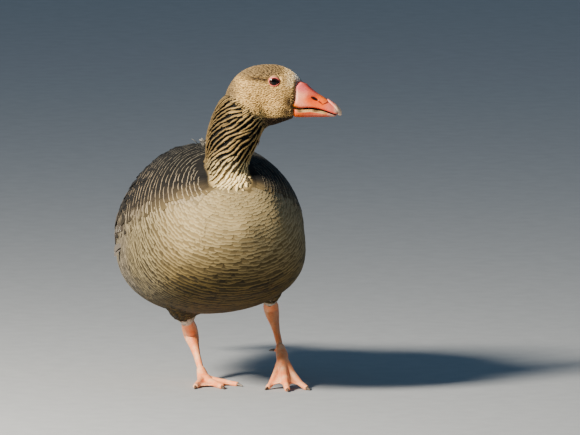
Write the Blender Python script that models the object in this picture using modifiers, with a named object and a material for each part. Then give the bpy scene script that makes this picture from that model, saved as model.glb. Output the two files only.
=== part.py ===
"""A grey goose on foot, life size: trunk, neck and head, folded wings, tail, bill, eyes and webbed feet.

The bird faces -Y, its left is +X and +Z is up. Lengths below are in millimetres and are turned to
metres where a mesh is made. The head is turned to the bird's left and both legs are bent in a slow step.
"""
import bpy
import bmesh
import numpy as np
from math import cos, pi, radians, sin
from mathutils import Matrix, Vector

MM = 0.001
GAP = 0.3                       # clear space between neighbouring solids

# ---- trunk: outline seen from the side and from above, front (-y) to back (+y) ----
BACK_LINE = ((-184, 214), (-168, 247), (-140, 272), (-100, 290), (-50, 300), (10, 299),
             (70, 281), (130, 247), (190, 204), (246, 165))
BELLY_LINE = ((-184, 206), (-172, 168), (-150, 141), (-110, 118), (-60, 100), (0, 89),
              (60, 84), (120, 88), (180, 106), (246, 141))
HALF_WIDTH_LINE = ((-184, 4), (-172, 42), (-150, 66), (-118, 86), (-75, 101), (-20, 104),
                   (60, 100.5), (110, 93), (150, 81), (190, 64), (246, 38))
WIDEST_LINE = ((-184, 205), (-120, 180), (-40, 170), (60, 166), (150, 156), (246, 152))
TOP_FULLNESS = 2.07
TOP_LEAN = 3                    # how far the back leans to the bird's right
BELLY_FULLNESS = 2.2
TRUNK_RINGS = 30
TRUNK_SIDES = 40
TRUNK_FACES = 1500

# ---- neck: centre line with its half width and half depth ----
NECK_LINE = ((-4, -92, 205, 52, 48), (-7, -104, 238, 40, 41), (-9.5, -111, 258, 29.5, 32),
             (-9.6, -113, 276, 24.8, 28), (-8.6, -115, 290, 26.2, 28), (-4.8, -117, 309, 31.0, 29.5),
             (2.2, -118, 329, 33.0, 30), (10.6, -118, 350, 31.0, 26), (21.5, -118, 370, 24.5, 21))
NECK_CUTS = ((-9, -112, 272, 28), (-6, -116, 304, 10))   # point on each cut, and its rise backwards

# ---- head, in its own frame: x to the bill tip, z up, zero at the eyes ----
HEAD_PLACE = (49, -118.5, 385.5)
HEAD_TURN = -12                 # degrees from +X, towards the front of the bird
CROWN_LINE = ((-62, -22), (-54, -5), (-44, 8), (-29, 17), (-10, 20.5), (8, 19.5), (20, 14.5), (31, 6),
              (38, -4))
THROAT_LINE = ((-62, -46), (-42, -60), (-20, -61), (0, -56), (14, -51), (26, -47), (38, -39))
HEAD_WIDTH_LINE = ((-62, 8), (-52, 17), (-32, 22), (-8, 21.5), (10, 19), (26, 15.5), (38, 13))
CHEEK_HEIGHT = -16              # where the head is widest
HEAD_CUT = (-22, -56, 38)       # point on the cut between head and neck, and its rise forward

# ---- bill ----
CULMEN_LINE = ((12, 8), (27, 7.2), (35, 1.0), (50, -12.8), (66, -23.5), (75, -30.0))
TOMIUM_LINE = ((12, -28), (20, -30.8), (30, -34.2), (44, -33.3), (59, -35.8), (69, -39.4), (75, -41.6))
BILL_WIDTH_LINE = ((12, 12.5), (27, 13.6), (42, 12.4), (56, 11), (66, 10.4), (75, 8.6))
CHIN_LINE = ((12, -44), (30, -45.2), (50, -45.0), (66, -44.9), (74, -44.4))
LOWER_WIDTH_LINE = ((12, 10.5), (30, 11), (50, 9.2), (66, 8), (74, 5))
NAIL = (66, 82.5, 7.2)          # back, front and half width of the nail on the upper bill
NAIL_TOP_LINE = ((66, -23.0), (74, -28.0), (79, -31.8), (82.5, -37))
NAIL_FOOT_LINE = ((66, -26.5), (74, -34), (79, -43.2), (82.5, -42.6))

# ---- eyes ----
EYE_RADIUS = 8.2
EYE_SIDE = 12.6                 # eye centre from the middle of the head

# ---- folded wings: top and bottom edge as degrees from the middle of the back ----
WING_EDGES = ((-122, 50, 60), (-106, 34, 70), (-76, 23, 76), (-30, 16, 79), (40, 12, 81),
              (100, 10, 82), (150, 10, 74), (196, 11, 60), (226, 14, 44))
WING_PROUD = 4.2                # how far the feathers stand off the trunk's line
WING_DEPTH = 7.0
FLIGHT_SLOPE = radians(24)      # how steeply the stacked flight feathers fall to the side
FLIGHT_ARCH = 0.006
FLIGHT_LINE = ((32, 172, 207, 25, 7), (29, 208, 188, 24, 6.5), (24, 243, 171, 19, 5.5),
               (18, 272, 158, 12, 3.6), (14, 291, 149.5, 4, 1.6))

# ---- tail: centre height, half width and half thickness ----
TAIL_LINE = ((196, 160, 30, 13), (222, 155, 42, 9), (250, 149, 50, 5.5), (280, 143.5, 53, 3),
             (298, 140.5, 47, 1.9), (308, 139, 34, 1.3), (313, 138.3, 12, 1.0))
TAIL_ARCH = 7                   # drop of the outer tail feathers

# ---- legs ----
# cuff is how far down the shin its feathers reach
RIGHT_LEG = {"side": "right", "outwards": -1, "toe_in": 5, "cuff": 0.7,
             "knee": (-44, -10, 125), "hock": (-2.8, 92, 55.5), "foot": (-0.6, 38, 6.4)}
LEFT_LEG = {"side": "left", "outwards": 1, "toe_in": -8, "cuff": 0.84,
            "knee": (56, -42, 162), "hock": (84, 33, 89), "foot": (84.8, -18, 38)}
THIGH_RADII = (26, 22, 15, 10.5)
HOCK_RADII = (9.2, 9.6)         # across and fore-and-aft
TARSUS_RADII = (3.7, 5.0)
ANKLE = 0.2                     # where the foot begins, as a share of the way up to the hock
TOES = (("middle", 0, 70, 4.4), ("outer", 27, 64, 4.0), ("inner", -29, 56, 3.8))
HIND_TOE = ("hind", 150, 15, 2.9)   # each toe: name, angle outwards, length, radius at the root
PALM_RADII = ((4.6, 5.4), (7.4, 7.4), (6.8, 6.0))   # ankle, pad under the joint, root of the toes
WEB_THICKNESS = 1.8
CLAW_LENGTH = 11
CLAW_RADIUS = 2.3
FLOOR = 0.5                     # height at which the soles are cut flat

FLESH_VOXEL = 3.0
FOOT_VOXEL = 1.1
HEAD_FACES = 800
NECK_FACES = 300
FOOT_FACES = 500


def srgb(red, green, blue):
    """A colour given as 0-255 sRGB, as the linear values that a material takes."""
    scaled = [value / 255 for value in (red, green, blue)]
    return [v / 12.92 if v <= 0.04045 else ((v + 0.055) / 1.055) ** 2.4 for v in scaled] + [1.0]


def finish(name, colour, roughness):
    material = bpy.data.materials.new(name)
    material.use_nodes = True
    shader = material.node_tree.nodes["Principled BSDF"]
    shader.inputs["Base Color"].default_value = srgb(*colour)
    shader.inputs["Roughness"].default_value = roughness
    shader.inputs["Metallic"].default_value = 0.0
    material.diffuse_color = srgb(*colour)
    return material


def follow(keys, t):
    """The keys' other columns at t, on a smooth curve through the rows."""
    table = np.array(keys, float)
    knots, values = table[:, 0], table[:, 1:]
    slopes = np.gradient(values, knots, axis=0)
    i = int(np.clip(np.searchsorted(knots, t) - 1, 0, len(knots) - 2))
    step = knots[i + 1] - knots[i]
    s = float(np.clip((t - knots[i]) / step, 0, 1))
    blend = (2 * s**3 - 3 * s**2 + 1, s**3 - 2 * s**2 + s, -2 * s**3 + 3 * s**2, s**3 - s**2)
    found = (blend[0] * values[i] + blend[1] * step * slopes[i]
             + blend[2] * values[i + 1] + blend[3] * step * slopes[i + 1])
    return found if len(found) > 1 else float(found[0])


def add_object(name, bm, collection):
    """A named object from a bmesh given in millimetres."""
    bmesh.ops.scale(bm, vec=Vector((MM, MM, MM)), verts=bm.verts)
    bmesh.ops.recalc_face_normals(bm, faces=bm.faces)
    mesh = bpy.data.meshes.new(name)
    bm.to_mesh(mesh)
    bm.free()
    obj = bpy.data.objects.new(name, mesh)
    collection.objects.link(obj)
    return obj


def loft(rings, bm=None):
    """A closed skin of triangles over rings of equally many points, with flat ends."""
    bm = bm or bmesh.new()
    made = [[bm.verts.new(point) for point in ring] for ring in rings]
    count = len(made[0])
    for near, far in zip(made, made[1:]):
        for k in range(count):
            after = (k + 1) % count
            bm.faces.new((near[k], near[after], far[after]))
            bm.faces.new((near[k], far[after], far[k]))
    bm.faces.new(made[0][::-1])
    bm.faces.new(made[-1])
    return bm


def tube_rings(points, radii, sides):
    """Elliptic rings square to a path: radii are (across, other way) at each point."""
    points = [Vector(p) for p in points]
    rings = []
    for i, centre in enumerate(points):
        ahead = points[min(i + 1, len(points) - 1)] - points[max(i - 1, 0)]
        ahead.normalize()
        across = Vector((1, 0, 0))
        across = (across - ahead * across.dot(ahead)).normalized()
        other = ahead.cross(across)
        a, b = radii[i]
        turns = [2 * pi * k / sides for k in range(sides)]
        rings.append([centre + across * (a * cos(w)) + other * (b * sin(w)) for w in turns])
    return rings


def rounded(points, radii, end_steps=2):
    """The path with short extra rings that round both ends off."""
    points = [Vector(p) for p in points]
    first = (points[0] - points[1]).normalized()
    last = (points[-1] - points[-2]).normalized()
    steps = [radians(90) * k / (end_steps + 0.35) for k in range(1, end_steps + 1)]
    head, tail = [], []
    for w in steps:
        head.append((points[0] + first * (min(radii[0]) * sin(w)), tuple(r * cos(w) for r in radii[0])))
        tail.append((points[-1] + last * (min(radii[-1]) * sin(w)), tuple(r * cos(w) for r in radii[-1])))
    both = head[::-1] + list(zip(points, radii)) + tail
    return [p for p, _ in both], [r for _, r in both]


def boolean(obj, other, operation):
    """Applies one exact Boolean and removes the other object."""
    change = obj.modifiers.new("cut", "BOOLEAN")
    change.operation = operation
    change.solver = "EXACT"
    change.object = other
    bake(obj)
    bpy.data.objects.remove(other)
    return obj


def bake(obj):
    """Makes what the modifiers give the object's own mesh."""
    graph = bpy.context.evaluated_depsgraph_get()
    mesh = bpy.data.meshes.new_from_object(obj.evaluated_get(graph))
    obj.modifiers.clear()
    obj.data = mesh
    return obj


def fuse(obj, voxel, smoothing):
    """One even skin over every form in the mesh."""
    remesh = obj.modifiers.new("fuse", "REMESH")
    remesh.mode = "VOXEL"
    remesh.voxel_size = voxel * MM
    ease = obj.modifiers.new("ease", "SMOOTH")
    ease.factor = 0.5
    ease.iterations = smoothing
    return bake(obj)


def thin_out(obj, faces):
    """Fewer, larger faces where the form is plain."""
    thin = obj.modifiers.new("thin", "DECIMATE")
    thin.ratio = min(1.0, faces / sum(len(p.vertices) - 2 for p in obj.data.polygons))
    return bake(obj)


def trim(obj, point, outwards):
    """Takes off what lies beyond a plane and closes the cut."""
    bm = bmesh.new()
    bm.from_mesh(obj.data)
    cut = bmesh.ops.bisect_plane(bm, geom=bm.verts[:] + bm.edges[:] + bm.faces[:], dist=1e-7,
                                 plane_co=Vector(point) * MM, plane_no=outwards, clear_outer=True)
    edges = [e for e in cut["geom_cut"] if isinstance(e, bmesh.types.BMEdge)]
    bmesh.ops.triangle_fill(bm, edges=edges, use_beauty=True)
    bmesh.ops.recalc_face_normals(bm, faces=bm.faces)
    bm.to_mesh(obj.data)
    bm.free()


def split(obj, name, point, normal):
    """Cuts the body in two by a plane: obj keeps the side behind it, the new object the side ahead."""
    place, normal = Vector(point), Vector(normal).normalized()
    other = obj.copy()
    other.data = obj.data.copy()
    other.name = name
    obj.users_collection[0].objects.link(other)
    trim(obj, place - normal * (GAP / 2), normal)
    trim(other, place + normal * (GAP / 2), -normal)
    return other


def keep_largest(obj):
    """Drops the slivers that a cut leaves loose beside the main body."""
    bm = bmesh.new()
    bm.from_mesh(obj.data)
    left, islands = set(bm.verts), []
    while left:
        front = [left.pop()]
        island = list(front)
        while front:
            near = [e.other_vert(v) for v in front for e in v.link_edges]
            front = [v for v in dict.fromkeys(near) if v in left]
            left.difference_update(front)
            island += front
        islands.append(island)
    largest = max(islands, key=len)
    loose = [v for island in islands if island is not largest for v in island]
    bmesh.ops.delete(bm, geom=loose, context="VERTS")
    bm.to_mesh(obj.data)
    bm.free()


def carve(obj, rings, cutters):
    """Cuts from obj the room that a neighbour lofted on these rings fills."""
    return boolean(obj, add_object("room", loft(rings), cutters), "DIFFERENCE")


# ---- trunk, neck and head ----

def trunk_point(y, turn, proud=0.0):
    """The trunk's surface at length y, turned from the middle of the back towards +x."""
    top, bottom = follow(BACK_LINE, y), follow(BELLY_LINE, y)
    half, widest = follow(HALF_WIDTH_LINE, y), follow(WIDEST_LINE, y)
    upper = cos(turn) >= 0
    fullness = 2 / (TOP_FULLNESS if upper else BELLY_FULLNESS)
    rise = (top - widest if upper else widest - bottom) + proud
    x = (half + proud) * abs(sin(turn)) ** fullness * (1 if sin(turn) >= 0 else -1)
    if upper:
        x -= TOP_LEAN * cos(turn) ** 2
    z = widest + rise * abs(cos(turn)) ** fullness * (1 if upper else -1)
    return Vector((x, y, z))


def trunk_form():
    first, last = BACK_LINE[0][0], BACK_LINE[-1][0]
    spread = [0.5 - 0.5 * cos(pi * k / TRUNK_RINGS) for k in range(TRUNK_RINGS + 1)]
    turns = [2 * pi * k / TRUNK_SIDES for k in range(TRUNK_SIDES)]
    return loft([[trunk_point(first + (last - first) * s, w) for w in turns] for s in spread])


def neck_form(bm):
    points = [row[:3] for row in NECK_LINE]
    radii = [row[3:] for row in NECK_LINE]
    loft(tube_rings(*rounded(points, radii), 28), bm)


def head_matrix():
    return Matrix.Translation(HEAD_PLACE) @ Matrix.Rotation(radians(HEAD_TURN), 4, "Z")


def section(x, half, top, bottom, widest, sides, fullness=2.2):
    """A closed ring across the head or bill at x."""
    ring = []
    for k in range(sides):
        w = 2 * pi * k / sides
        rise = (top - widest) if cos(w) >= 0 else (widest - bottom)
        side = abs(sin(w)) ** (2 / fullness) * (1 if sin(w) >= 0 else -1)
        up = abs(cos(w)) ** (2 / fullness) * (1 if cos(w) >= 0 else -1)
        ring.append(head_matrix() @ Vector((x, half * side, widest + rise * up)))
    return ring


def head_form(bm):
    first, last = CROWN_LINE[0][0], CROWN_LINE[-1][0]
    rings = []
    for k in range(19):
        x = first + (last - first) * k / 18
        top, bottom = follow(CROWN_LINE, x), follow(THROAT_LINE, x)
        widest = min(CHEEK_HEIGHT, 0.5 * (top + bottom) + 3)
        rings.append(section(x, follow(HEAD_WIDTH_LINE, x), top, bottom, widest, 28))
    loft(rings, bm)


def make_flesh(parts):
    """Trunk, neck and head in one skin, then parted by thin cuts."""
    bm = trunk_form()
    neck_form(bm)
    head_form(bm)
    body = fuse(add_object("trunk", bm, parts), FLESH_VOXEL, 5)
    upper = body
    for name, (x, y, z, rise) in zip(("neck_lower", "neck_upper"), NECK_CUTS):
        upper = split(upper, name, (x, y, z), (0, -sin(radians(rise)), cos(radians(rise))))
    place = head_matrix() @ Vector((HEAD_CUT[0], 0, HEAD_CUT[1]))
    normal = Vector((sin(radians(HEAD_CUT[2])), 0, cos(radians(HEAD_CUT[2]))))
    head = split(upper, "head", place, head_matrix().to_3x3() @ normal)
    thin_out(body, TRUNK_FACES)
    thin_out(parts.objects["neck_lower"], NECK_FACES)
    thin_out(parts.objects["neck_upper"], NECK_FACES)
    thin_out(head, HEAD_FACES)
    return body, head


# ---- bill and eyes ----

def bill_rings(top_line, bottom_line, width_line, tip, widest, grow, steps=9, sides=14):
    """Rings from inside the head to a blunt tip; widest names the height of the cutting edge."""
    first, last = top_line[0][0], min(top_line[-1][0], bottom_line[-1][0])
    rings = []
    for k in range(steps + 1):
        x = first + (last - first) * k / steps
        top, bottom = follow(top_line, x) + grow, follow(bottom_line, x) - grow
        rings.append(section(x, follow(width_line, x) + grow, top, bottom,
                             widest * top + (1 - widest) * bottom, sides, 2.3))
    top, bottom = follow(top_line, last), follow(bottom_line, last)
    half = follow(width_line, last)
    middle = widest * top + (1 - widest) * bottom
    for out, shrink in ((0.55, 0.8), (0.9, 0.45)):
        rings.append(section(last + tip * out + grow, half * shrink + grow,
                             middle + (top - middle) * shrink + grow,
                             middle + (bottom - middle) * shrink - grow, middle, sides, 2.3))
    return rings


def make_bill(parts, cutters, head):
    roof = tuple((x, z - GAP) for x, z in TOMIUM_LINE)
    halves = (("bill_upper", CULMEN_LINE, TOMIUM_LINE, BILL_WIDTH_LINE, 5, 0.12),
              ("bill_lower", roof, CHIN_LINE, LOWER_WIDTH_LINE, 3, 0.8))
    for name, *shape in halves:
        half = add_object(name, loft(bill_rings(*shape, 0)), parts)
        carve(half, nail_rings(GAP), cutters)
        room = bill_rings(*shape, GAP)
        back = [p - head_matrix().to_3x3() @ Vector((GAP, 0, 0)) for p in room[0]]
        carve(head, [back] + room[1:], cutters)
    add_object("bill_nail", loft(nail_rings(0)), parts)


def nail_rings(grow):
    """The horny nail that hooks over the tip of both halves."""
    back, front, half = NAIL
    rings = []
    for k in range(7):
        t = k / 6
        x = back - grow + (front - back + 2 * grow) * t
        top = follow(NAIL_TOP_LINE, x) + grow
        bottom = follow(NAIL_FOOT_LINE, x) - grow
        width = half * (1 - 0.6 * abs(2 * t - 0.9) ** 2.5) + grow
        rings.append(section(x, width, top, bottom, 0.5 * (top + bottom), 12, 2.3))
    return rings


def eyeball(place, radius):
    bm = bmesh.new()
    bmesh.ops.create_uvsphere(bm, u_segments=12, v_segments=8, radius=radius,
                              matrix=Matrix.Translation(place))
    return bm


def make_eyes(parts, cutters, head):
    for name, side in (("eye_right", -1), ("eye_left", 1)):
        place = head_matrix() @ Vector((0, side * EYE_SIDE, 0))
        add_object(name, eyeball(place, EYE_RADIUS), parts)
        boolean(head, add_object("socket", eyeball(place, EYE_RADIUS + GAP), cutters), "DIFFERENCE")


# ---- wings and tail ----

def wing_rings(side, grow, steps=12, across=6):
    """Rings that follow the trunk's surface from the back to the flank, thick in the middle."""
    first, last = WING_EDGES[0][0], WING_EDGES[-1][0]
    rings = []
    for k in range(steps + 1):
        t = k / steps
        y = first + (last - first) * t
        top, bottom = follow(WING_EDGES, y)
        fade = min(1.0, 0.45 + 3 * t, 0.6 + 2 * (1 - t))
        slack = np.degrees(grow / max(30.0, follow(HALF_WIDTH_LINE, y)))
        outer, inner = [], []
        for j in range(across + 1):
            s = j / across
            turn = side * radians(top - slack + (bottom - top + 2 * slack) * s)
            swell = sin(pi * (0.06 + 0.88 * s)) ** 0.5 * fade
            outer.append(trunk_point(y, turn, WING_PROUD * swell + grow))
            inner.append(trunk_point(y, turn, -WING_DEPTH * swell - grow))
        ring = outer + inner[::-1]
        if k in (0, steps):
            ring = [p + Vector((0, grow * (1 if k else -1), 0)) for p in ring]
        rings.append(ring)
    return rings


def flight_rings(side, grow):
    """The stacked long feathers of one wing, reaching back over the tail."""
    first, last = FLIGHT_LINE[0], FLIGHT_LINE[-1]
    rings = []
    keys = [(row[1], row[0], row[2], row[3], row[4]) for row in FLIGHT_LINE]
    for k in range(9):
        y = first[1] - grow + (last[1] - first[1] + 2 * grow) * k / 8
        x, z, half, thick = follow(keys, y)
        ring = []
        for j in range(12):
            w = 2 * pi * j / 12
            across = (half + grow) * cos(w)
            up = (thick + grow) * sin(w) - FLIGHT_ARCH * across**2
            outwards = x + across * cos(FLIGHT_SLOPE)
            ring.append(Vector((side * outwards, y, z + up - across * sin(FLIGHT_SLOPE))))
        rings.append(ring)
    return rings


def make_wings(parts, cutters, body, tail):
    for name, side in (("right", -1), ("left", 1)):
        wing = add_object("wing_" + name, loft(wing_rings(side, 0)), parts)
        add_object("primaries_" + name, loft(flight_rings(side, 0)), parts)
        carve(body, wing_rings(side, GAP), cutters)
        for neighbour in (wing, body, tail):
            carve(neighbour, flight_rings(side, GAP), cutters)


def tail_rings(grow):
    first, last = TAIL_LINE[0][0], TAIL_LINE[-1][0]
    rings = []
    for k in range(12):
        y = first - grow + (last - first + 2 * grow) * (k / 11) ** 0.85
        z, half, thick = follow(TAIL_LINE, y)
        ring = []
        for j in range(16):
            w = 2 * pi * j / 16
            across = (half + grow) * cos(w)
            ring.append(Vector((across, y, z + (thick + grow) * sin(w) - TAIL_ARCH * (across / 50) ** 2)))
        rings.append(ring)
    return rings


def make_tail(parts, cutters, body):
    tail = add_object("tail", loft(tail_rings(0)), parts)
    carve(body, tail_rings(GAP), cutters)
    return tail


# ---- legs ----

def thigh_rings(leg, grow):
    """The feathered shin from the knee, inside the body, to its cuff above the hock."""
    knee, hock = Vector(leg["knee"]), Vector(leg["hock"])
    points = [knee.lerp(hock, leg["cuff"] * t) for t in (0, 0.4, 0.75, 1)]
    radii = [(r + grow, 1.1 * r + grow) for r in THIGH_RADII]
    points, radii = rounded(points, radii)
    return tube_rings(points[:-2], radii[:-2], 14)


def shank_rings(leg):
    """The bare leg: the end of the shin, the swollen hock and the thin shank down to the foot."""
    knee, hock, foot = (Vector(leg[key]) for key in ("knee", "hock", "foot"))
    start = knee.lerp(hock, leg["cuff"]) + (hock - knee).normalized() * GAP
    end = hock.lerp(foot, 1 - ANKLE)
    across, deep = HOCK_RADII
    thin, long = TARSUS_RADII
    points = [start, start.lerp(hock, 0.6), hock] + [hock.lerp(end, t) for t in (0.15, 0.35, 0.62, 1)]
    radii = [(7.2, 8.0), (across, deep), (across, deep), (across * 0.9, deep * 0.9),
             (thin * 1.6, long * 1.25), (thin * 1.1, long), (thin, long * 0.95)]
    return tube_rings(points, radii, 12)


def toe_path(leg, toe):
    """Points from the root of a toe to its tip: it falls from the foot's joint and lies along the floor."""
    _, angle, length, radius = toe
    foot = Vector(leg["foot"])
    heading = radians(leg["outwards"] * angle + leg["toe_in"])
    ahead = Vector((sin(heading), -cos(heading), 0))
    drop = foot.z - radius
    reach = (length**2 - drop**2) ** 0.5
    points = []
    for k in range(6):
        t = k / 5
        height = radius * (1 - 0.25 * t) + drop * (1 - t) ** 1.5
        points.append(Vector((foot.x, foot.y, height)) + ahead * (reach * t))
    return points


def hind_toe_path(leg):
    """The small hind toe, set high on the inner side and clear of the floor."""
    _, angle, length, _ = HIND_TOE
    foot = Vector(leg["foot"])
    root = foot.lerp(Vector(leg["hock"]), 0.12)
    heading = radians(leg["toe_in"] - leg["outwards"] * angle)
    ahead = Vector((sin(heading), -cos(heading), -0.1)).normalized()
    return [root + ahead * (length * t) for t in (0, 0.5, 1)]


def toe_form(points, radius, bm):
    """A toe that tapers, a little thicker at each joint."""
    count = len(points) - 1
    radii = [radius * (1.12 - 0.34 * k / count) * (1 + 0.1 * (k % 2)) for k in range(count + 1)]
    loft(tube_rings(*rounded(points, [(r, r) for r in radii]), 12), bm)


def web_form(leg, first, second, bm):
    """The skin between two toes, a thin plate whose free edge curves in."""
    one, other = toe_path(leg, first), toe_path(leg, second)
    rows, across = 6, 6
    lift = Vector((0, 0, WEB_THICKNESS / 2))
    rings = []
    for i in range(rows + 1):
        line = []
        for j in range(across + 1):
            s = j / across
            t = i / rows * (0.93 - 0.22 * sin(pi * s)) * 5
            k = min(4, int(t))
            point = one[k].lerp(one[k + 1], t - k).lerp(other[k].lerp(other[k + 1], t - k), s)
            line.append(point - Vector((0, 0, 0.8 * sin(pi * s))))
        rings.append([p + lift for p in line] + [p - lift for p in line[::-1]])
    loft(rings, bm)


def claw_rings(points, radius, grow):
    """A blunt claw that carries a toe's line on and bends to the floor."""
    root, tip = points[-2], points[-1]
    ahead = (tip - root).normalized()
    ahead.z = max(ahead.z, -0.05)
    start = tip - ahead * (2 + grow)
    rings = []
    for k in range(4):
        t = k / 3
        centre = start + ahead * ((CLAW_LENGTH + 2 * grow) * t)
        r = radius * (1 - 0.62 * t**1.5) + grow
        centre.z = max(centre.z - 1.2 * t**2, FLOOR + r - grow + 0.1)
        rings.append((centre, (r * 0.85, r)))
    return tube_rings([c for c, _ in rings], [r for _, r in rings], 6)


def make_foot(parts, cutters, leg):
    """Palm, three webbed toes and the hind toe in one skin, flat where it meets the floor."""
    bm = bmesh.new()
    foot, hock = Vector(leg["foot"]), Vector(leg["hock"])
    palm = [foot.lerp(hock, ANKLE + 0.05), foot, toe_path(leg, TOES[0])[1]]
    loft(tube_rings(*rounded(palm, PALM_RADII), 14), bm)
    paths = {toe[0]: toe_path(leg, toe) for toe in TOES}
    paths["hind"] = hind_toe_path(leg)
    for name, _, _, radius in TOES + (HIND_TOE,):
        toe_form(paths[name], radius, bm)
    middle, outer, inner = TOES
    web_form(leg, middle, outer, bm)
    web_form(leg, inner, middle, bm)
    made = add_object("foot_" + leg["side"], bm, parts)
    fuse(made, FOOT_VOXEL, 1)
    thin_out(made, FOOT_FACES)
    trim(made, (0, 0, FLOOR), (0, 0, -1))
    trim(made, foot.lerp(hock, ANKLE) + (foot - hock).normalized() * GAP, hock - foot)
    for name, path in paths.items():
        radius = CLAW_RADIUS * (0.8 if name == "hind" else 1)
        add_object("claw_" + name + "_" + leg["side"], loft(claw_rings(path, radius, 0)), parts)
        carve(made, claw_rings(path, radius, GAP), cutters)


def make_leg(parts, cutters, body, leg):
    add_object("thigh_" + leg["side"], loft(thigh_rings(leg, 0)), parts)
    carve(body, thigh_rings(leg, GAP), cutters)
    add_object("shank_" + leg["side"], loft(shank_rings(leg)), parts)
    make_foot(parts, cutters, leg)


# ---- finishes and frame ----

def paint(parts):
    """Gives each sub-part the finish of what it is made of."""
    finishes = (
        (("trunk", "neck", "thigh"), "breast_feather", (158, 146, 124), 0.85),
        (("head",), "head_feather", (134, 116, 90), 0.85),
        (("wing", "tail"), "back_feather", (98, 90, 80), 0.75),
        (("primaries",), "flight_feather", (58, 53, 49), 0.6),
        (("bill",), "bill_skin", (226, 134, 96), 0.45),
        (("claw", "bill_nail"), "horn", (206, 186, 168), 0.4),
        (("eye",), "eye", (38, 22, 14), 0.08),
        (("shank", "foot"), "leg_skin", (224, 128, 102), 0.55),
    )
    for starts, name, colour, roughness in finishes:
        material = finish(name, colour, roughness)
        for obj in parts.objects:
            if obj.name.startswith(starts):
                obj.data.materials.clear()
                obj.data.materials.append(material)
                obj.data.shade_smooth()
                obj.data.set_sharp_from_angle(angle=radians(40))


def stand_on_origin(parts):
    """Hangs every sub-part on one empty that puts the middle of the box's underside at the origin."""
    corners = [obj.matrix_world @ vertex.co for obj in parts.objects for vertex in obj.data.vertices]
    lowest = [min(c[i] for c in corners) for i in range(3)]
    highest = [max(c[i] for c in corners) for i in range(3)]
    frame = bpy.data.objects.new("goose_frame", None)
    frame.location = (-(lowest[0] + highest[0]) / 2, -(lowest[1] + highest[1]) / 2, -lowest[2])
    for obj in list(parts.objects):
        obj.parent = frame
    parts.objects.link(frame)


def main():
    for old in list(bpy.data.objects):
        bpy.data.objects.remove(old, do_unlink=True)
    parts = bpy.data.collections.new("goose")
    cutters = bpy.data.collections.new("cutters")
    bpy.context.scene.collection.children.link(parts)
    bpy.context.scene.collection.children.link(cutters)
    body, head = make_flesh(parts)
    make_bill(parts, cutters, head)
    make_eyes(parts, cutters, head)
    tail = make_tail(parts, cutters, body)
    make_wings(parts, cutters, body, tail)
    for leg in (RIGHT_LEG, LEFT_LEG):
        make_leg(parts, cutters, body, leg)
    keep_largest(body)
    paint(parts)
    stand_on_origin(parts)


main()
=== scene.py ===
# %% [markdown]
# # A grey goose in its plumage, life size
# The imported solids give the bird's size and stance. Here it gets what the eye reads: a seamless skin, a coat
# of separate feathers that lie as a goose's do, a horny bill, wet eyes and scaly feet.
# The bird faces -Y, its left is +X and +Z is up. Plans are made in millimetres, and become metres when a mesh
# is made. Everything random is drawn from one seeded source, so each run grows the same coat.

# %% Load the solids
from math import cos, pi, radians, sin

import bmesh
import bpy
import numpy as np
from mathutils import Matrix, Vector
from mathutils.bvhtree import BVHTree


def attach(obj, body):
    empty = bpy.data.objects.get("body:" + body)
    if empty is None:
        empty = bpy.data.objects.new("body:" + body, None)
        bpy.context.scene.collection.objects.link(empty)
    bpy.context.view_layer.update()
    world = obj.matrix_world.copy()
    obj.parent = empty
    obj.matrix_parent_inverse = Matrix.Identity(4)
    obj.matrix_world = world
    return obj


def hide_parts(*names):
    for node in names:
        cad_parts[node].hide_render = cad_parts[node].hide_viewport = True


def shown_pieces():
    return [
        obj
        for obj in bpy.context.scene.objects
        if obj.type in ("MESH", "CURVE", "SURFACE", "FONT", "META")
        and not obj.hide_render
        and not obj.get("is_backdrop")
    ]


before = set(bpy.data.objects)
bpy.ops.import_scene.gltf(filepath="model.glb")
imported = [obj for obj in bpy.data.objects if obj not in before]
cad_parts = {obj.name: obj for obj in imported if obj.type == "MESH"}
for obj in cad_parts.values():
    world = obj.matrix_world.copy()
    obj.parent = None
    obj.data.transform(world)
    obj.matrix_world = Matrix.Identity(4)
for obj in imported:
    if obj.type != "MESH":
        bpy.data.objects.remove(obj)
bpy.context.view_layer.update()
MM = 0.001
rng = np.random.default_rng(17)

# %% [markdown]
# ## Sizes and places
# A goose is laid out along one line: bill, head, neck, trunk, tail. The same line later says where a feather
# sits and which region it belongs to. The head has its own axes, because it is turned to the bird's left.

# %% Places on the bird, in millimetres
EYES = np.array((36.2, -183.1, 385.0))          # midpoint between the eyes
HEAD_TURN = radians(-12)
FORWARD = np.array((cos(HEAD_TURN), sin(HEAD_TURN), 0.0))
LEFTWARD = np.array((-sin(HEAD_TURN), cos(HEAD_TURN), 0.0))
MIDDLE = -12.8                                  # x of the trunk's middle plane
SPINE = np.array(((66, -189, 369), (28, -181, 371), (-1, -183, 350), (-10, -183, 328), (-18, -182, 308),
                  (-21, -180, 290), (-22, -178, 275), (-22, -176, 258), (-20, -168, 238), (-16, -145, 215),
                  (-13, -60, 195), (-13, 20, 190), (-13, 100, 165), (-13, 181, 150)), float)
NECK_FOOT = np.array((-19.0, -212.0, 284.0))    # where the neck runs out on the breast
COAT_DEPTH = {"head": 1.0, "neck": 2.2, "body": 1.8}


def in_head(points):
    """Points in the head's own frame: forward, to its left, up, from between the eyes."""
    away = points - EYES
    return np.stack((away @ FORWARD, away @ LEFTWARD, away[:, 2]), 1)


def from_head(points):
    points = np.asarray(points, float)
    return EYES + points[:, :1] * FORWARD + points[:, 1:2] * LEFTWARD + points[:, 2:] * (0, 0, 1)


def ease(low, high, value):
    """0 below low, 1 above high and a smooth rise between."""
    t = np.clip((np.asarray(value, float) - low) / (high - low), 0, 1)
    return t * t * (3 - 2 * t)


def unit(vectors):
    return vectors / np.maximum(np.linalg.norm(vectors, axis=-1, keepdims=True), 1e-9)


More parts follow.
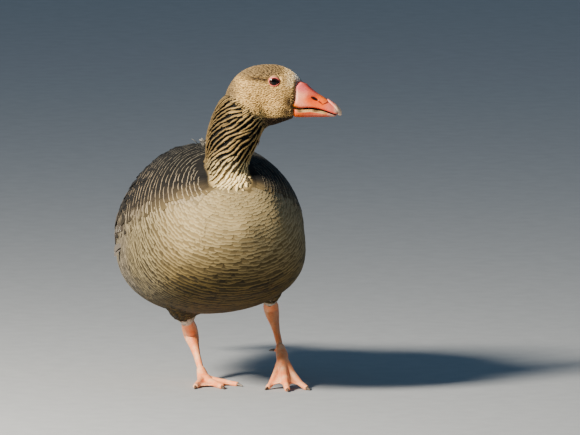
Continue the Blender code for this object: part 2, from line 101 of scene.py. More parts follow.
def scatter_noise(points, size):
    """Smooth random values, 0 to 1, with patches of about this size in mm."""
    grid = np.asarray(points, float) / size
    base = np.floor(grid).astype(np.int64)
    part = grid - base
    part = part * part * (3 - 2 * part)
    total = np.zeros(len(grid))
    for corner in range(8):
        offset = np.array((corner & 1, corner >> 1 & 1, corner >> 2 & 1))
        cell = base + offset
        mixed = cell[:, 0] * 73856093 ^ cell[:, 1] * 19349663 ^ cell[:, 2] * 83492791
        mixed = (mixed ^ mixed >> 13) * 1274126177 & 0xFFFFFFFF
        weight = np.prod(np.where(offset, part, 1 - part), axis=1)
        total += weight * ((mixed ^ mixed >> 16) & 0xFFFF) / 0xFFFF
    return total


def along_spine(points):
    """How far down the spine each point lies in mm, and how far from it."""
    best = np.full(len(points), np.inf)
    reach = np.zeros(len(points))
    done = 0.0
    for a, b in zip(SPINE, SPINE[1:]):
        step = b - a
        t = np.clip((points - a) @ step / (step @ step), 0, 1)
        gap = np.linalg.norm(points - a - t[:, None] * step, axis=1)
        nearer = gap < best
        best = np.where(nearer, gap, best)
        reach = np.where(nearer, done + t * np.linalg.norm(step), reach)
        done += np.linalg.norm(step)
    return reach, best


print("spine length mm:", round(float(np.linalg.norm(np.diff(SPINE, axis=0), axis=1).sum())))

# %% [markdown]
# ## Colour helpers
# Colours are written as sRGB hex, the way a paint chart gives them, and one function turns them into the
# linear values that shaders take. One more helper adds a node with its settings and links.

# %% Colour and node helpers
def paint(code):
    """Linear red, green and blue of an sRGB hex colour."""
    values = np.array([int(code[i:i + 2], 16) for i in (0, 2, 4)]) / 255
    return np.where(values <= 0.04045, values / 12.92, ((values + 0.055) / 1.055) ** 2.4)


def colour(code):
    return (*paint(code), 1.0)


def set_inputs(material, node, **inputs):
    """Gives inputs a value, or a link from another node's output socket. In their names _ stands for a
    space, and _0 is the first input."""
    for key, value in inputs.items():
        socket = node.inputs[int(key[1:]) if key[1:].isdigit() else key.replace("_", " ")]
        if isinstance(value, bpy.types.NodeSocket):
            material.node_tree.links.new(value, socket)
        else:
            socket.default_value = value


def add_node(material, kind, settings=None, **inputs):
    """Adds a node with its settings and inputs. Stops are a colour ramp's, as (place, hex colour)."""
    node = material.node_tree.nodes.new(kind)
    settings = dict(settings or {})
    if "stops" in settings:
        stops, elements = settings.pop("stops"), node.color_ramp.elements
        while len(elements) < len(stops):
            elements.new(0.5)
        for element, (place, code) in zip(elements, stops):
            element.position = place
            element.color = colour(code)
    for key, value in settings.items():
        setattr(node, key, value)
    set_inputs(material, node, **inputs)
    return node


def new_material(name):
    """An empty Principled material and its shader."""
    material = bpy.data.materials.new(name)
    material.use_nodes = True
    return material, material.node_tree.nodes["Principled BSDF"]


SMOOTH = {"interpolation_type": "SMOOTHSTEP"}
TIMES = {"operation": "MULTIPLY"}
TIMES_PLUS = {"operation": "MULTIPLY_ADD"}
COLOURS = {"data_type": "RGBA"}
print("node helpers ready")

# %% [markdown]
# ## Mesh helpers
# Each piece ends as one object at the origin, with its place in its mesh. Points carry extra values, such as
# a feather's two colours, as named attributes that a material can read.

# %% Object and attribute helpers
ATTRIBUTE_KEYS = {"FLOAT": "value", "FLOAT_VECTOR": "vector", "FLOAT_COLOR": "color"}


def linked(name, mesh):
    obj = bpy.data.objects.new(name, mesh)
    bpy.context.scene.collection.objects.link(obj)
    return obj


def object_from(name, bm):
    """A smooth shaded object from a bmesh, which is used up."""
    for face in bm.faces:
        face.smooth = True
    mesh = bpy.data.meshes.new(name)
    bm.to_mesh(mesh)
    bm.free()
    return linked(name, mesh)


def store(mesh, name, kind, values):
    """Writes one number, vector or colour for each point."""
    if kind == "FLOAT_COLOR":
        values = np.concatenate((values, np.ones((len(values), 1))), 1)
    layer = mesh.attributes.new(name, kind, "POINT")
    layer.data.foreach_set(ATTRIBUTE_KEYS[kind], values.astype(np.float32).ravel())


print("mesh helpers ready")

# %% [markdown]
# ## The goose's colours by region
# A grey goose is not painted in flat patches: each feather has a ground colour and a paler fringe, and both
# drift over the body. One function gives the two for any place on the bird, and skin and feathers both use
# it, so that no wrong colour shows where feathers part.

# %% Ground and fringe colours over the body
PLUMAGE = {
    "breast": ("7A6743", "9F8E68"),
    # the belly's colours hold painted shade of the underside as well as the belly's own darker grey
    "belly": ("2D2409", "634F1F"),
    "bars": ("211C16", "887D69"),
    "flank": ("3D3421", "837656"),
    "mantle": ("14110F", "9C896D"),
    "back": ("100E0C", "686255"),
    "shoulder": ("2F271E", "8F826F"),
    "rump": ("46423D", "6A6560"),
    "vent": ("C2BEB1", "D8D4CB"),
    "neck": ("4E3D24", "A08350"),
    "neck_foot": ("F3D18D", "F9E0A5"),
    "head": ("B68F53", "DBB471"),
    "crown": ("634F34", "8B724C"),
    "brow": ("3C2B17", "584329"),
    "cheek": ("D4A761", "F1C579"),
    "lores": ("382716", "523E25"),
    # painted shade: dark colours that stand for the shadow under the chin
    "forehead": ("D3B27C", "F6D9A3"),
    "chin_shade": ("33261A", "5A4530"),
    "blaze": ("C9C4BC", "E6E3DC"),
}
GROOVE = paint("0C0906")         # shadowed roots between the neck's ridges


def head_share(points):
    """1 on the head, 0 on the neck: the border rises from throat to nape."""
    border = 378 - 0.77 * (points[:, 0] + 28.8)
    return ease(-5, 6, points[:, 2] - border)


def round_neck(points):
    """How far each point is from the neck's centre line, and how much it faces forwards."""
    axis = np.stack([np.interp(points[:, 2], SPINE[8:1:-1, 2], SPINE[8:1:-1, k]) for k in (0, 1)], 1)
    out = points[:, :2] - axis
    away = np.linalg.norm(out, axis=1)
    return away, np.clip(-out[:, 1] / np.maximum(away, 1), 0, 1)


def neck_edge(points):
    """How far each point is inside the neck's outer limit in mm, and how far above its foot."""
    away, front = round_neck(points)
    reach = np.interp(points[:, 2], (250, 270, 285, 305, 330), (19, 20, 26, 37, 40))
    reach = reach + 30 * front ** 2 * ease(296, 262, points[:, 2])
    return reach - away, points[:, 2] - 252


def neck_share(points):
    """1 on the neck, fading into the breast in front and the shoulders behind."""
    inside, above = neck_edge(points)
    return ease(0, 14, above) * ease(-4, 1, inside) * (1 - head_share(points))


def border_height(points):
    """Height where the dark upper side meets the pale under side."""
    return np.interp(points[:, 1], (-225, -205, -150, -90, 0, 80, 120, 200),
                     (266, 258, 241, 222, 205, 184, 160, 148))


def upper_share(points, soft=4):
    """1 on mantle and wings, 0 on breast and flank."""
    wobble = 7 * (scatter_noise(points, 13) - 0.5)
    over = points[:, 2] - border_height(points) + wobble
    return ease(1 - soft, 1 + soft, over) * ease(-224, -200, points[:, 1])


THIGHS = (((-31, -10, 66), (-44, -44, 108)), ((64.5, -51, 92), (58, -70, 122)))   # lower and upper ends
THIGH_REACH = 21.0


def thigh_share(points, more=0):
    """1 on the feathered legs where they leave the belly, and up to this much further round them."""
    share = np.zeros(len(points))
    for low, high in np.array(THIGHS, float):
        step = high - low
        t = np.clip((points - low) @ step / (step @ step), 0, 1)
        gap = np.linalg.norm(points - low - t[:, None] * step, axis=1)
        share = np.maximum(share, ease(THIGH_REACH + more + 3, THIGH_REACH + more - 3, gap) * ease(1, 0.7, t))
    return share


def oval(own, centre, size):
    """A soft patch of height 1 at a place on the side of the head: (forward, up)."""
    return np.exp(-((own[:, 0] - centre[0]) / size[0]) ** 2 - ((own[:, 2] - centre[1]) / size[1]) ** 2)


def face_shares(points, head):
    """How the head's share is split over the parts of the face."""
    own = in_head(points)
    forward, up = own[:, 0], own[:, 2]
    cap_edge = 2 - 0.09 * np.minimum(forward, 0) + 0.35 * np.maximum(forward, 0)
    crown = np.maximum(ease(-2, 5, up - cap_edge) * ease(24, 8, forward), ease(-34, -48, forward))
    lores = np.maximum(oval(own, (20.5, -24), (6.5, 10)), oval(own, (18, -36), (7, 6)))
    cheek = oval(own, (-6, -20), (17, 12))
    brow = np.exp(-((up - 1.5 + 0.09 * forward) / 3.2) ** 2) * ease(-5, -9, forward) * ease(-40, -20, forward)
    found = {"blaze": head * ease(25.5, 29, forward) * ease(-9, -5, up)}
    found["brow"] = (head - found["blaze"]) * brow
    left = head - found["blaze"] - found["brow"]
    # painted shade: a dark band along the chin's underside, where the head shades itself
    found["chin_shade"] = left * ease(-40.0, -43.5, up) * ease(34, 26, forward) * ease(-16, -4, forward)
    found["forehead"] = left * ease(13, 22, forward) * ease(-12, -2, up)
    left = left - found["chin_shade"] - found["forehead"]
    for name, share in (("lores", lores), ("crown", crown), ("cheek", cheek)):
        found[name] = left * share
        left = left * (1 - share)
    return {**found, "head": left}


def region_shares(points, body_only=False):
    """How much each region holds of every point."""
    head = head_share(points) * (not body_only)
    neck = neck_share(points) * (not body_only)
    rest = (1 - head) * (1 - neck)
    y, z = points[:, 1], points[:, 2]
    aside = np.abs(points[:, 0] - MIDDLE)
    foot = ease(312, 275, z) * (0.35 + 0.65 * round_neck(points)[1])

    # the upper side: its border with the breast is soft in front and crisper along the wing
    upper = upper_share(points, np.interp(y, (-130, -60), (13, 6)))
    over = z - border_height(points)
    near = np.exp(-np.abs(over) / np.where(over > 0, 6, 12)) * ease(-20, -90, y)
    high = ease(240, 285, z)
    rump = ease(90, 130, y) * ease(30, 18, aside) * upper
    above = rest * upper * (1 - rump)

    # the under side
    vent = ease(60, 110, y) * ease(150, 128, z)
    below = rest * (1 - upper) * (1 - vent)
    fade = 0.85 * near * ease(20, 50, aside) * below
    below = below - fade
    side = 0.9 * ease(50, 95, aside) * ease(-215, -150, y)
    # lower down the under side takes the belly's darker colours: the belly's own greyer plumage, with painted
    # shade of the underside
    low = ease(232, 138, z)
    barred = ease(-95, -45, y) * ease(70, 95, aside)
    return {**face_shares(points, head), "neck": neck * (1 - foot), "neck_foot": neck * foot,
            "rump": rest * upper * rump, "shoulder": above * near + fade,
            "mantle": above * (1 - near) * (1 - high), "back": above * (1 - near) * high,
            "vent": rest * (1 - upper) * vent, "bars": below * side * barred,
            "flank": below * side * (1 - barred), "belly": below * (1 - side) * low,
            "breast": below * (1 - side) * (1 - low)}


def plumage(points, body_only=False):
    """Ground and fringe colour, linear, for each point."""
    shares = region_shares(points, body_only)
    drift = 1 + 0.16 * (scatter_noise(points, 24) - 0.5) + 0.14 * (scatter_noise(points + 400, 7) - 0.5)
    both = []
    for k in (0, 1):
        mixed = sum(share[:, None] * paint(PLUMAGE[name][k]) for name, share in shares.items())
        both.append(mixed * drift[:, None])
    return both


print("regions:", ", ".join(PLUMAGE))

# %% [markdown]
# ## One skin under the coat
# A bird's skin runs from bill to tail without a seam, while the solids are cut into named parts. The parts
# are copied, swollen a little so that the cuts close, and wrapped in one voxel mesh. Relaxing it rounds the
# steps, and pulling it in by the depth of the coat leaves room for the feathers inside the outline.

# %% The skin
SKIN_VOXEL = 2.5
CUT_CLOSING = 0.6
SKIN_NODES = ("trunk", "neck_lower", "neck_upper", "head", "thigh_left", "thigh_right",
              "wing_left", "wing_right")
HOLE_FILLERS = ("eye_left", "eye_right", "bill_upper", "bill_lower")
BILL_TUCK = 4.2                  # how far the skin goes in under the bill's rim
BILL_PLUG = 36.0                 # where the skin ends inside the bill, forward of the eyes


def feather_edge(own):
    """How far forward the feathers reach at the bill: a point on the forehead, a notch at the gape."""
    forehead = 12.5 * np.exp(-(own[:, 1] / 8.5) ** 2) * ease(-7.5, -3.5, own[:, 2])
    gape = 4.5 * np.exp(-((own[:, 2] + 31) / 3.5) ** 2)
    return 26.0 + forehead - gape - 1.5 * ease(-33, -38, own[:, 2])


def wrapped(nodes, voxel, relax, swell):
    """One voxel mesh round these solids, which are swollen first by some mm, relaxed by so many rounds."""
    bm = bmesh.new()
    for name in nodes:
        bm.from_mesh(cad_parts[name].data)
    bmesh.ops.remove_doubles(bm, verts=bm.verts, dist=0.002 * MM)
    bm.normal_update()
    for vert in bm.verts:
        vert.co += vert.normal * swell * MM
    obj = object_from("wrap", bm)
    remesh = obj.modifiers.new("one shell", "REMESH")
    remesh.mode = "VOXEL"
    remesh.voxel_size = voxel * MM
    graph = bpy.context.evaluated_depsgraph_get()
    shell = bmesh.new()
    shell.from_mesh(obj.evaluated_get(graph).to_mesh())
    bpy.data.objects.remove(obj)
    for _ in range(relax):
        bmesh.ops.smooth_vert(shell, verts=shell.verts, factor=0.5, use_axis_x=True, use_axis_y=True,
                              use_axis_z=True)
    bmesh.ops.recalc_face_normals(shell, faces=shell.faces)
    return shell


def shell_arrays(shell):
    """Its points in mm, their normals and its faces."""
    shell.normal_update()
    shell.verts.index_update()
    points = np.array([v.co for v in shell.verts]) / MM
    normals = np.array([v.normal for v in shell.verts])
    faces = [[v.index for v in f.verts] for f in shell.faces]
    return points, normals, faces


skin_shell = wrapped(SKIN_NODES + HOLE_FILLERS, SKIN_VOXEL, 9, CUT_CLOSING)
skin_points, skin_normals, skin_faces = shell_arrays(skin_shell)
skin_own = in_head(skin_points)
rim = feather_edge(skin_own)
depth = COAT_DEPTH["body"] + (COAT_DEPTH["neck"] - COAT_DEPTH["body"]) * neck_share(skin_points)
depth = depth + (COAT_DEPTH["head"] - depth) * head_share(skin_points) + CUT_CLOSING
on_head = head_share(skin_points)
depth = depth + BILL_TUCK * on_head * ease(rim - 1.0, rim + 1.6, skin_own[:, 0])
beyond = (on_head * np.maximum(skin_own[:, 0] - BILL_PLUG, 0))[:, None]
skin_points = skin_points - skin_normals * depth[:, None] - FORWARD * beyond * 0.93
for vert, point in zip(skin_shell.verts, skin_points):
    vert.co = Vector(point) * MM
print("skin:", len(skin_points), "points,", len(skin_faces), "faces")

# %% Finding the skin
skin_tree = BVHTree.FromPolygons([Vector(p) for p in skin_points], skin_faces)
face_normals = unit(np.array([skin_normals[f].mean(0) for f in skin_faces]))


def on_skin(points):
    """The nearest places on the skin, and the normals there."""
    places = np.zeros((len(points), 3))
    normals = np.zeros((len(points), 3))
    for i, point in enumerate(points):
        place, _, face, _ = skin_tree.find_nearest(Vector(point))
        places[i] = place
        normals[i] = face_normals[face]
    return places, normals


print("skin tree ready")

# %% [markdown]
# ## The lie of the coat
# Feathers point away from the bill: back over the head, slantwise down the neck towards the nape, and then
# outwards from the foot of the neck over breast, sides and back. So the rows run in rings round the foot of
# the neck. The lie is worked out from those few facts, not drawn by hand.

# %% Lie of the feathers
BILL_ROOT = from_head([(46, 0, -12)])[0]
NECK_SLANT = ((235, 0), (255, 14), (290, 36), (320, 50), (352, 60))    # height, degrees off the neck's line
NAPEWARD = -FORWARD
EYE_OPENING = (7.7, 6.3)         # half width and half height of the bare ring round the eye


def flat_on(vectors, normals):
    """The part of each vector that lies in the surface."""
    return vectors - (vectors * normals).sum(1)[:, None] * normals


def round_eyes(points, lie):
    """Turns the lie aside where it would run into an eye."""
    own = in_head(points) / (EYE_OPENING[0], 1, EYE_OPENING[1])
    out = unit(own[:, :1] * FORWARD + own[:, 2:] * (0, 0, 1))
    inwards = np.minimum((lie * out).sum(1), 0) * ease(2.0, 1.15, np.hypot(own[:, 0], own[:, 2]))
    return unit(lie - out * inwards[:, None])


def lie_at(points, normals):
    """Unit directions, root to tip, along the skin."""
    over_head = round_eyes(points, unit(flat_on(points - BILL_ROOT, normals)))
    slant = np.interp(points[:, 2], *np.array(NECK_SLANT, float).T)
    meander = 46 * ease(250, 300, points[:, 2]) * (scatter_noise(points, 13) - 0.5)
    slant = np.radians(slant + meander)[:, None]
    keys = SPINE[8:1:-1]
    tangents = unit(np.gradient(keys, axis=0))
    axis = np.stack([np.interp(points[:, 2], keys[:, 2], tangents[:, k]) for k in range(3)], 1)
    down_neck = unit(flat_on(-axis * np.cos(slant) + NAPEWARD * np.sin(slant), normals))
    from_foot = unit(flat_on(points - NECK_FOOT, normals))
    backwards = unit(flat_on(np.tile((0.0, 1.0, -0.2), (len(points), 1)), normals))
    rear = (0.8 * ease(-110, 20, points[:, 1]) + 0.2 * ease(-20, 100, points[:, 1]))[:, None]
    body = unit(from_foot * (1 - rear) + backwards * rear)
    leg = thigh_share(points)[:, None]
    body = unit(body * (1 - leg) + unit(flat_on(np.tile((0.0, 0.5, -1.0), (len(points), 1)), normals)) * leg)
    neck = neck_share(points)[:, None]
    head = head_share(points)[:, None]
    found = body * (1 - neck) * (1 - head) + down_neck * neck + over_head * head
    return unit(flat_on(found, normals))


def walk(points, normals, length, steps):
    """Places and normals met when walking along the lie, the start included."""
    trail = [(points, normals)]
    stride = np.asarray(length)[:, None] / steps
    for _ in range(steps):
        here, up = trail[-1]
        trail.append(on_skin(here + lie_at(here, up) * stride))
    return trail


print("lie ready")

# %% [markdown]
# ## The shape of one feather
# A contour feather is a thin leaf: narrow at the root, widest past the middle, with a rounded or blunt end.
# A prism with its long edges cut into rings, closed to a point at one end, gives that leaf with few faces.
# The template keeps three numbers for each corner: how far along, how far across, and upper or under side.

# %% The feather templates
def leaf_template(sides, stations):
    """(along, across, upper) of each corner, and the faces, of a closed leaf."""
    bm = bmesh.new()
    bmesh.ops.create_cone(bm, cap_ends=True, segments=sides, radius1=1.0, radius2=1.0, depth=1.0)
    long_edges = [e for e in bm.edges if abs(e.verts[0].co.z - e.verts[1].co.z) > 0.5]
    bmesh.ops.subdivide_edges(bm, edges=long_edges, cuts=len(stations) - 2, use_grid_fill=True)
    end = [v for v in bm.verts if v.co.z > 0.499]
    bmesh.ops.pointmerge(bm, verts=end, merge_co=Vector((0, 0, 0.5)))
    bmesh.ops.recalc_face_normals(bm, faces=bm.faces)
    even = np.linspace(0, 1, len(stations))
    bm.verts.index_update()
    rows = [(np.interp(v.co.z + 0.5, even, stations), v.co.x, v.co.y) for v in bm.verts]
    faces = [[v.index for v in f.verts] for f in bm.faces]
    bm.free()
    return np.array(rows), faces


def steady(trail, bend=0.72):
    """Which trails lie on smooth skin: no sharp fold between root and tip."""
    (p0, n0), (p1, n1), (p2, n2) = trail
    path = np.linalg.norm(p1 - p0, axis=1) + np.linalg.norm(p2 - p1, axis=1)
    straight = np.linalg.norm(p2 - p0, axis=1) > 0.88 * path
    return straight & ((n0 * n2).sum(1) > bend) & ((n0 * n1).sum(1) > bend)


def picked(mask, trail, *arrays):
    """The chosen trails, and the same rows of every array."""
    return [(p[mask], n[mask]) for p, n in trail], *(array[mask] for array in arrays)


SMALL_LEAF = leaf_template(4, (0, 0.4, 0.74, 0.93, 1))
BODY_LEAF = leaf_template(4, (0, 0.3, 0.58, 0.8, 0.92, 0.98, 1))
LARGE_LEAF = leaf_template(8, (0, 0.12, 0.28, 0.46, 0.64, 0.8, 0.91, 0.97, 1))
for title, leaf in (("small", SMALL_LEAF), ("body", BODY_LEAF), ("large", LARGE_LEAF)):
    print(title, "leaf:", sum(len(f) - 2 for f in leaf[1]), "triangles")

# %% [markdown]
# ## From template to coat
# Each feather follows three places on the skin: root, middle and tip, so a long one bends with the body. The
# root sits in the skin and the tip stands off by the depth of the coat, so each feather covers the roots of
# the next, like tiles. The whole coat piece is written at once from arrays, which is quick, and closed leaves
# mean that the coat is a real solid.

# %% Places on the skin's unwrap, for the baked colours
SPINE_REACH = np.concatenate(((0,), np.cumsum(np.linalg.norm(np.diff(SPINE, axis=0), axis=1))))
BAKE_PATCH = 0.003               # side of the square that one feather takes up


def unwrap(points):
    """The skin rolled out: how far down the spine, and how far round it, both 0 to 1."""
    reach, _ = along_spine(points)
    centre = np.stack([np.interp(reach, SPINE_REACH, SPINE[:, k]) for k in range(3)], 1)
    out = points - centre
    round_it = np.arctan2(out[:, 0], out[:, 2] - 0.35 * out[:, 1]) / (2 * pi) + 0.5
    return np.stack((0.02 + 0.96 * round_it, 0.02 + 0.96 * reach / SPINE_REACH[-1]), 1)


print("unwrap of the spine's", round(SPINE_REACH[-1]), "mm ready")

# %% Growing a coat piece
def write_mesh(name, points, faces_one, copies, loop_maps, tints, lengths, rims=None):
    """One object from many copies of a template: points in mm, face lists of one copy, per-corner UV maps,
    per-point colours and the copies' lengths. Edges between two points marked in rims stay crisp."""
    sizes = np.array([len(f) for f in faces_one])
    flat = np.concatenate([np.array(f) for f in faces_one])
    per_copy = len(points) // copies
    loops = (flat[None] + per_copy * np.arange(copies)[:, None]).ravel()
    totals = np.tile(sizes, copies)
    mesh = bpy.data.meshes.new(name)
    mesh.vertices.add(len(points))
    mesh.vertices.foreach_set("co", (points * MM).astype(np.float32).ravel())
    mesh.loops.add(len(loops))
    mesh.loops.foreach_set("vertex_index", loops.astype(np.int32))
    mesh.polygons.add(len(totals))
    starts = np.concatenate(((0,), np.cumsum(totals)[:-1]))
    mesh.polygons.foreach_set("loop_start", starts.astype(np.int32))
    mesh.polygons.foreach_set("use_smooth", np.ones(len(totals), bool))
    mesh.update(calc_edges=True)
    if rims is not None:
        ends = np.zeros(2 * len(mesh.edges), np.int32)
        mesh.edges.foreach_get("vertices", ends)
        crisp = rims[ends % per_copy].reshape(-1, 2).all(1)
        mesh.attributes.new("sharp_edge", "BOOLEAN", "EDGE").data.foreach_set("value", crisp)
    for title, values in loop_maps.items():
        layer = mesh.uv_layers.new(name=title)
        layer.data.foreach_set("uv", values[loops].astype(np.float32).ravel())
    for title, values in tints.items():
        store(mesh, title, "FLOAT_COLOR", values)
    store(mesh, "vane_length", "FLOAT", np.repeat(lengths, per_copy))
    return linked(name, mesh)


def bent_line(trail, along):
    """Places, directions and normals at each share along the lines through three places each."""
    (p0, n0), (p1, n1), (p2, n2) = trail
    a = along[None, :, None]
    p0, p1, p2, n0, n1, n2 = (v[:, None, :] for v in (p0, p1, p2, n0, n1, n2))
    place = p0 * (2 * (a - 0.5) * (a - 1)) - p1 * (4 * a * (a - 1)) + p2 * (2 * a * (a - 0.5))
    ahead = p0 * (4 * a - 3) - p1 * (8 * a - 4) + p2 * (4 * a - 1)
    normal = n0 * (1 - a) ** 2 + n1 * 2 * a * (1 - a) + n2 * a ** 2
    return place, unit(ahead), unit(normal)


def grow(name, leaf, trail, width, tints, blunt=5.0, sink=0.8, stand=2.0, thick=0.35, camber=0.10,
         waist=0.35, ragged=0.08, patch=BAKE_PATCH, flat=True, broad=1.0, by_place=False):
    """A piece of coat: one leaf along each trail. Widths, heights and thickness in mm. Flat vanes have
    crisp edges, the others are shaded round. broad widens the fringe. With by_place the region's colours run
    on over each feather, and the tints only make it lighter or darker."""
    rows, faces = leaf
    along, across, upper = rows.T
    copies = len(trail[0][0])
    place, ahead, normal = bent_line(trail, along)
    side = unit(np.cross(normal, ahead))
    normal = np.cross(ahead, side)
    outline = (waist + (1 - waist) * ease(0, 0.55, along)) * np.sqrt(np.maximum(1 - along ** blunt, 0))
    uneven = 1 + ragged * (rng.random((copies, len(rows))) - 0.5) * 2
    half = 0.5 * np.asarray(width)[:, None] * outline * uneven
    stand, camber = (np.broadcast_to(value, copies)[:, None] for value in (stand, camber))
    height = (stand + sink) * along ** 0.9 - sink
    height = height + upper * thick * 0.5 * np.sqrt(outline + 0.05)
    height = height + camber * half * 2 * (1 - across ** 2)
    points = place + side * (half * across)[..., None] + normal * height[..., None]
    vane = np.stack((across * 0.5 + 0.5, along), 1)
    at = unwrap(trail[0][0])[:, None, :]
    spread = np.stack((across * 0.5 + upper * 0.12, along - 0.5), 1)[None] * patch * 0.94
    maps = {"Vane": np.tile(vane, (copies, 1)), "OFBake": np.clip((at + spread).reshape(-1, 2), 0, 1)}
    tints = {key: np.repeat(value, len(rows), axis=0) for key, value in tints.items()}
    if by_place:
        both = plumage(points.reshape(-1, 3), True)
        tints = {"ground": tints["ground"] * both[0], "fringe": tints["fringe"] * both[1]}
    rims = np.abs(upper) < 0.01 if flat else None
    lengths = sum(np.linalg.norm(b[0] - a[0], axis=1) for a, b in zip(trail, trail[1:])) / broad
    obj = write_mesh(name, points.reshape(-1, 3), faces, copies, maps, tints, lengths, rims)
    print(f"{name}: {copies} feathers, {copies * sum(len(f) - 2 for f in faces)} triangles")
    return obj


# %% [markdown]
# ## Sowing the roots
# Feathers grow in tracts, in rows that cross the lie. Rings round the foot of the neck give the fine arcs on
# the breast and the hoops over the shoulders. Roots are drawn at random, moved to the nearest ring, and
# thinned so that neighbours in a ring keep their distance. Rings lie further apart towards the tail.

# %% Sowing
quads = np.array(skin_faces)
quad_corners = skin_points[quads]
quad_middles = quad_corners.mean(1)
quad_areas = 0.5 * np.linalg.norm(np.cross(quad_corners[:, 2] - quad_corners[:, 0],
                                           quad_corners[:, 3] - quad_corners[:, 1]), axis=1)


def drawn(share, room, crowd):
    """Random places on the skin where the share is above nothing, crowd of them per room in mm2."""
    weight = quad_areas * share(quad_middles)
    count = int(crowd * weight.sum() / room)
    pick = rng.choice(len(quads), count, p=weight / weight.sum())
    s, t = rng.random((2, count, 1))
    c = quad_corners[pick]
    places = (c[:, 0] * (1 - s) * (1 - t) + c[:, 1] * s * (1 - t) + c[:, 2] * s * t + c[:, 3] * (1 - s) * t)
    return places, face_normals[pick]


def thinned(places, spacing, rows):
    """Indices of places that keep their spacing from others of the same row."""
    cell = float(np.max(spacing))
    cells = np.floor(places / cell).astype(int)
    taken, kept = {}, []
    around = [(i, j, k) for i in (-1, 0, 1) for j in (-1, 0, 1) for k in (-1, 0, 1)]
    for i, (x, y, z) in enumerate(cells.tolist()):
        row, here, least = int(rows[i]), places[i], spacing[i] ** 2
        near = [p for dx, dy, dz in around for p in taken.get((row, x + dx, y + dy, z + dz), ())]
        if near and ((np.array(near) - here) ** 2).sum(1).min() < least:
            continue
        taken.setdefault((row, x, y, z), []).append(here)
        kept.append(i)
    return np.array(kept)


MOST_STEP = 13.0                 # the furthest that two rings lie apart
FREE_CROWD = 6                   # tries for each root that is kept, where feathers stand in no rows


def sown_in_rings(share, first, growth, across, crowd, loose=0.05):
    """Roots in rings round the neck's foot: places, normals and the local distance between rings. loose is
    how far they stray from their ring."""
    places, normals = drawn(share, first * across, crowd)
    away = places - NECK_FOOT
    reach = np.linalg.norm(away, axis=1)
    wave = 0.35 * scatter_noise(places, 30)
    ring = np.floor(np.log1p(growth * reach / first) / growth + wave) + 0.5
    wanted = np.expm1(growth * (ring - wave)) * first / growth
    outwards = flat_on(unit(away), normals)
    slope = np.clip(np.linalg.norm(outwards, axis=1), 0.45, 1)
    move = (wanted - reach) / slope + loose * first * rng.normal(size=len(reach))
    step = np.minimum(first + growth * wanted, MOST_STEP)
    shift = np.clip(move, -step, step)
    places, normals = on_skin(places + unit(outwards) * shift[:, None])
    good = share(places) > 0.12
    places, normals, ring, step, slope = (v[good] for v in (places, normals, ring, step, slope))
    narrow = 0.5 + 0.5 * ease(25, 75, wanted[good])
    kept = thinned(places, across * step / first * 0.8 * narrow, ring)
    return places[kept], normals[kept], step[kept] / slope[kept], narrow[kept]


def sown_freely(share, spacing):
    """Roots at random, this far apart: places and normals."""
    places, normals = drawn(share, spacing ** 2, FREE_CROWD)
    kept = thinned(places, np.full(len(places), spacing), np.zeros(len(places)))
    return places[kept], normals[kept]


def varied(colours, amount):
    """Each row of colours made lighter or darker at random."""
    return colours * (1 + amount * rng.normal(size=(len(colours), 1))).clip(0.4, 1.8)


def tinted(ground, fringe, spread, count=0):
    """The two colours of each feather, varied by these amounts. They are given as rows, or with a count as
    one hex colour for all."""
    rows = [np.tile(paint(tone), (count, 1)) if count else tone for tone in (ground, fringe)]
    return {key: varied(tone, amount) for key, tone, amount in zip(("ground", "fringe"), rows, spread)}


print("sowing ready")

# %% [markdown]
# ## The feather finish
# A vane is keratin: matt, a little silky, made of barbs that run slantwise from the shaft. The material reads
# the vane's own map: across from edge to edge, along from root to tip. It lays the fringe colour round the
# tip, draws the barbs, and darkens the root, where feathers lie in each other's shade. Real barbs are 0.3 mm
# apart, too fine to show, so they are drawn two to six times as coarse.

# %% Feather material
BARB_SLANT = -0.9                # how far a barb leans back from the tip, per width of the vane
SHAFT_HALF = 0.02                # half the shaft's width, per width of the vane


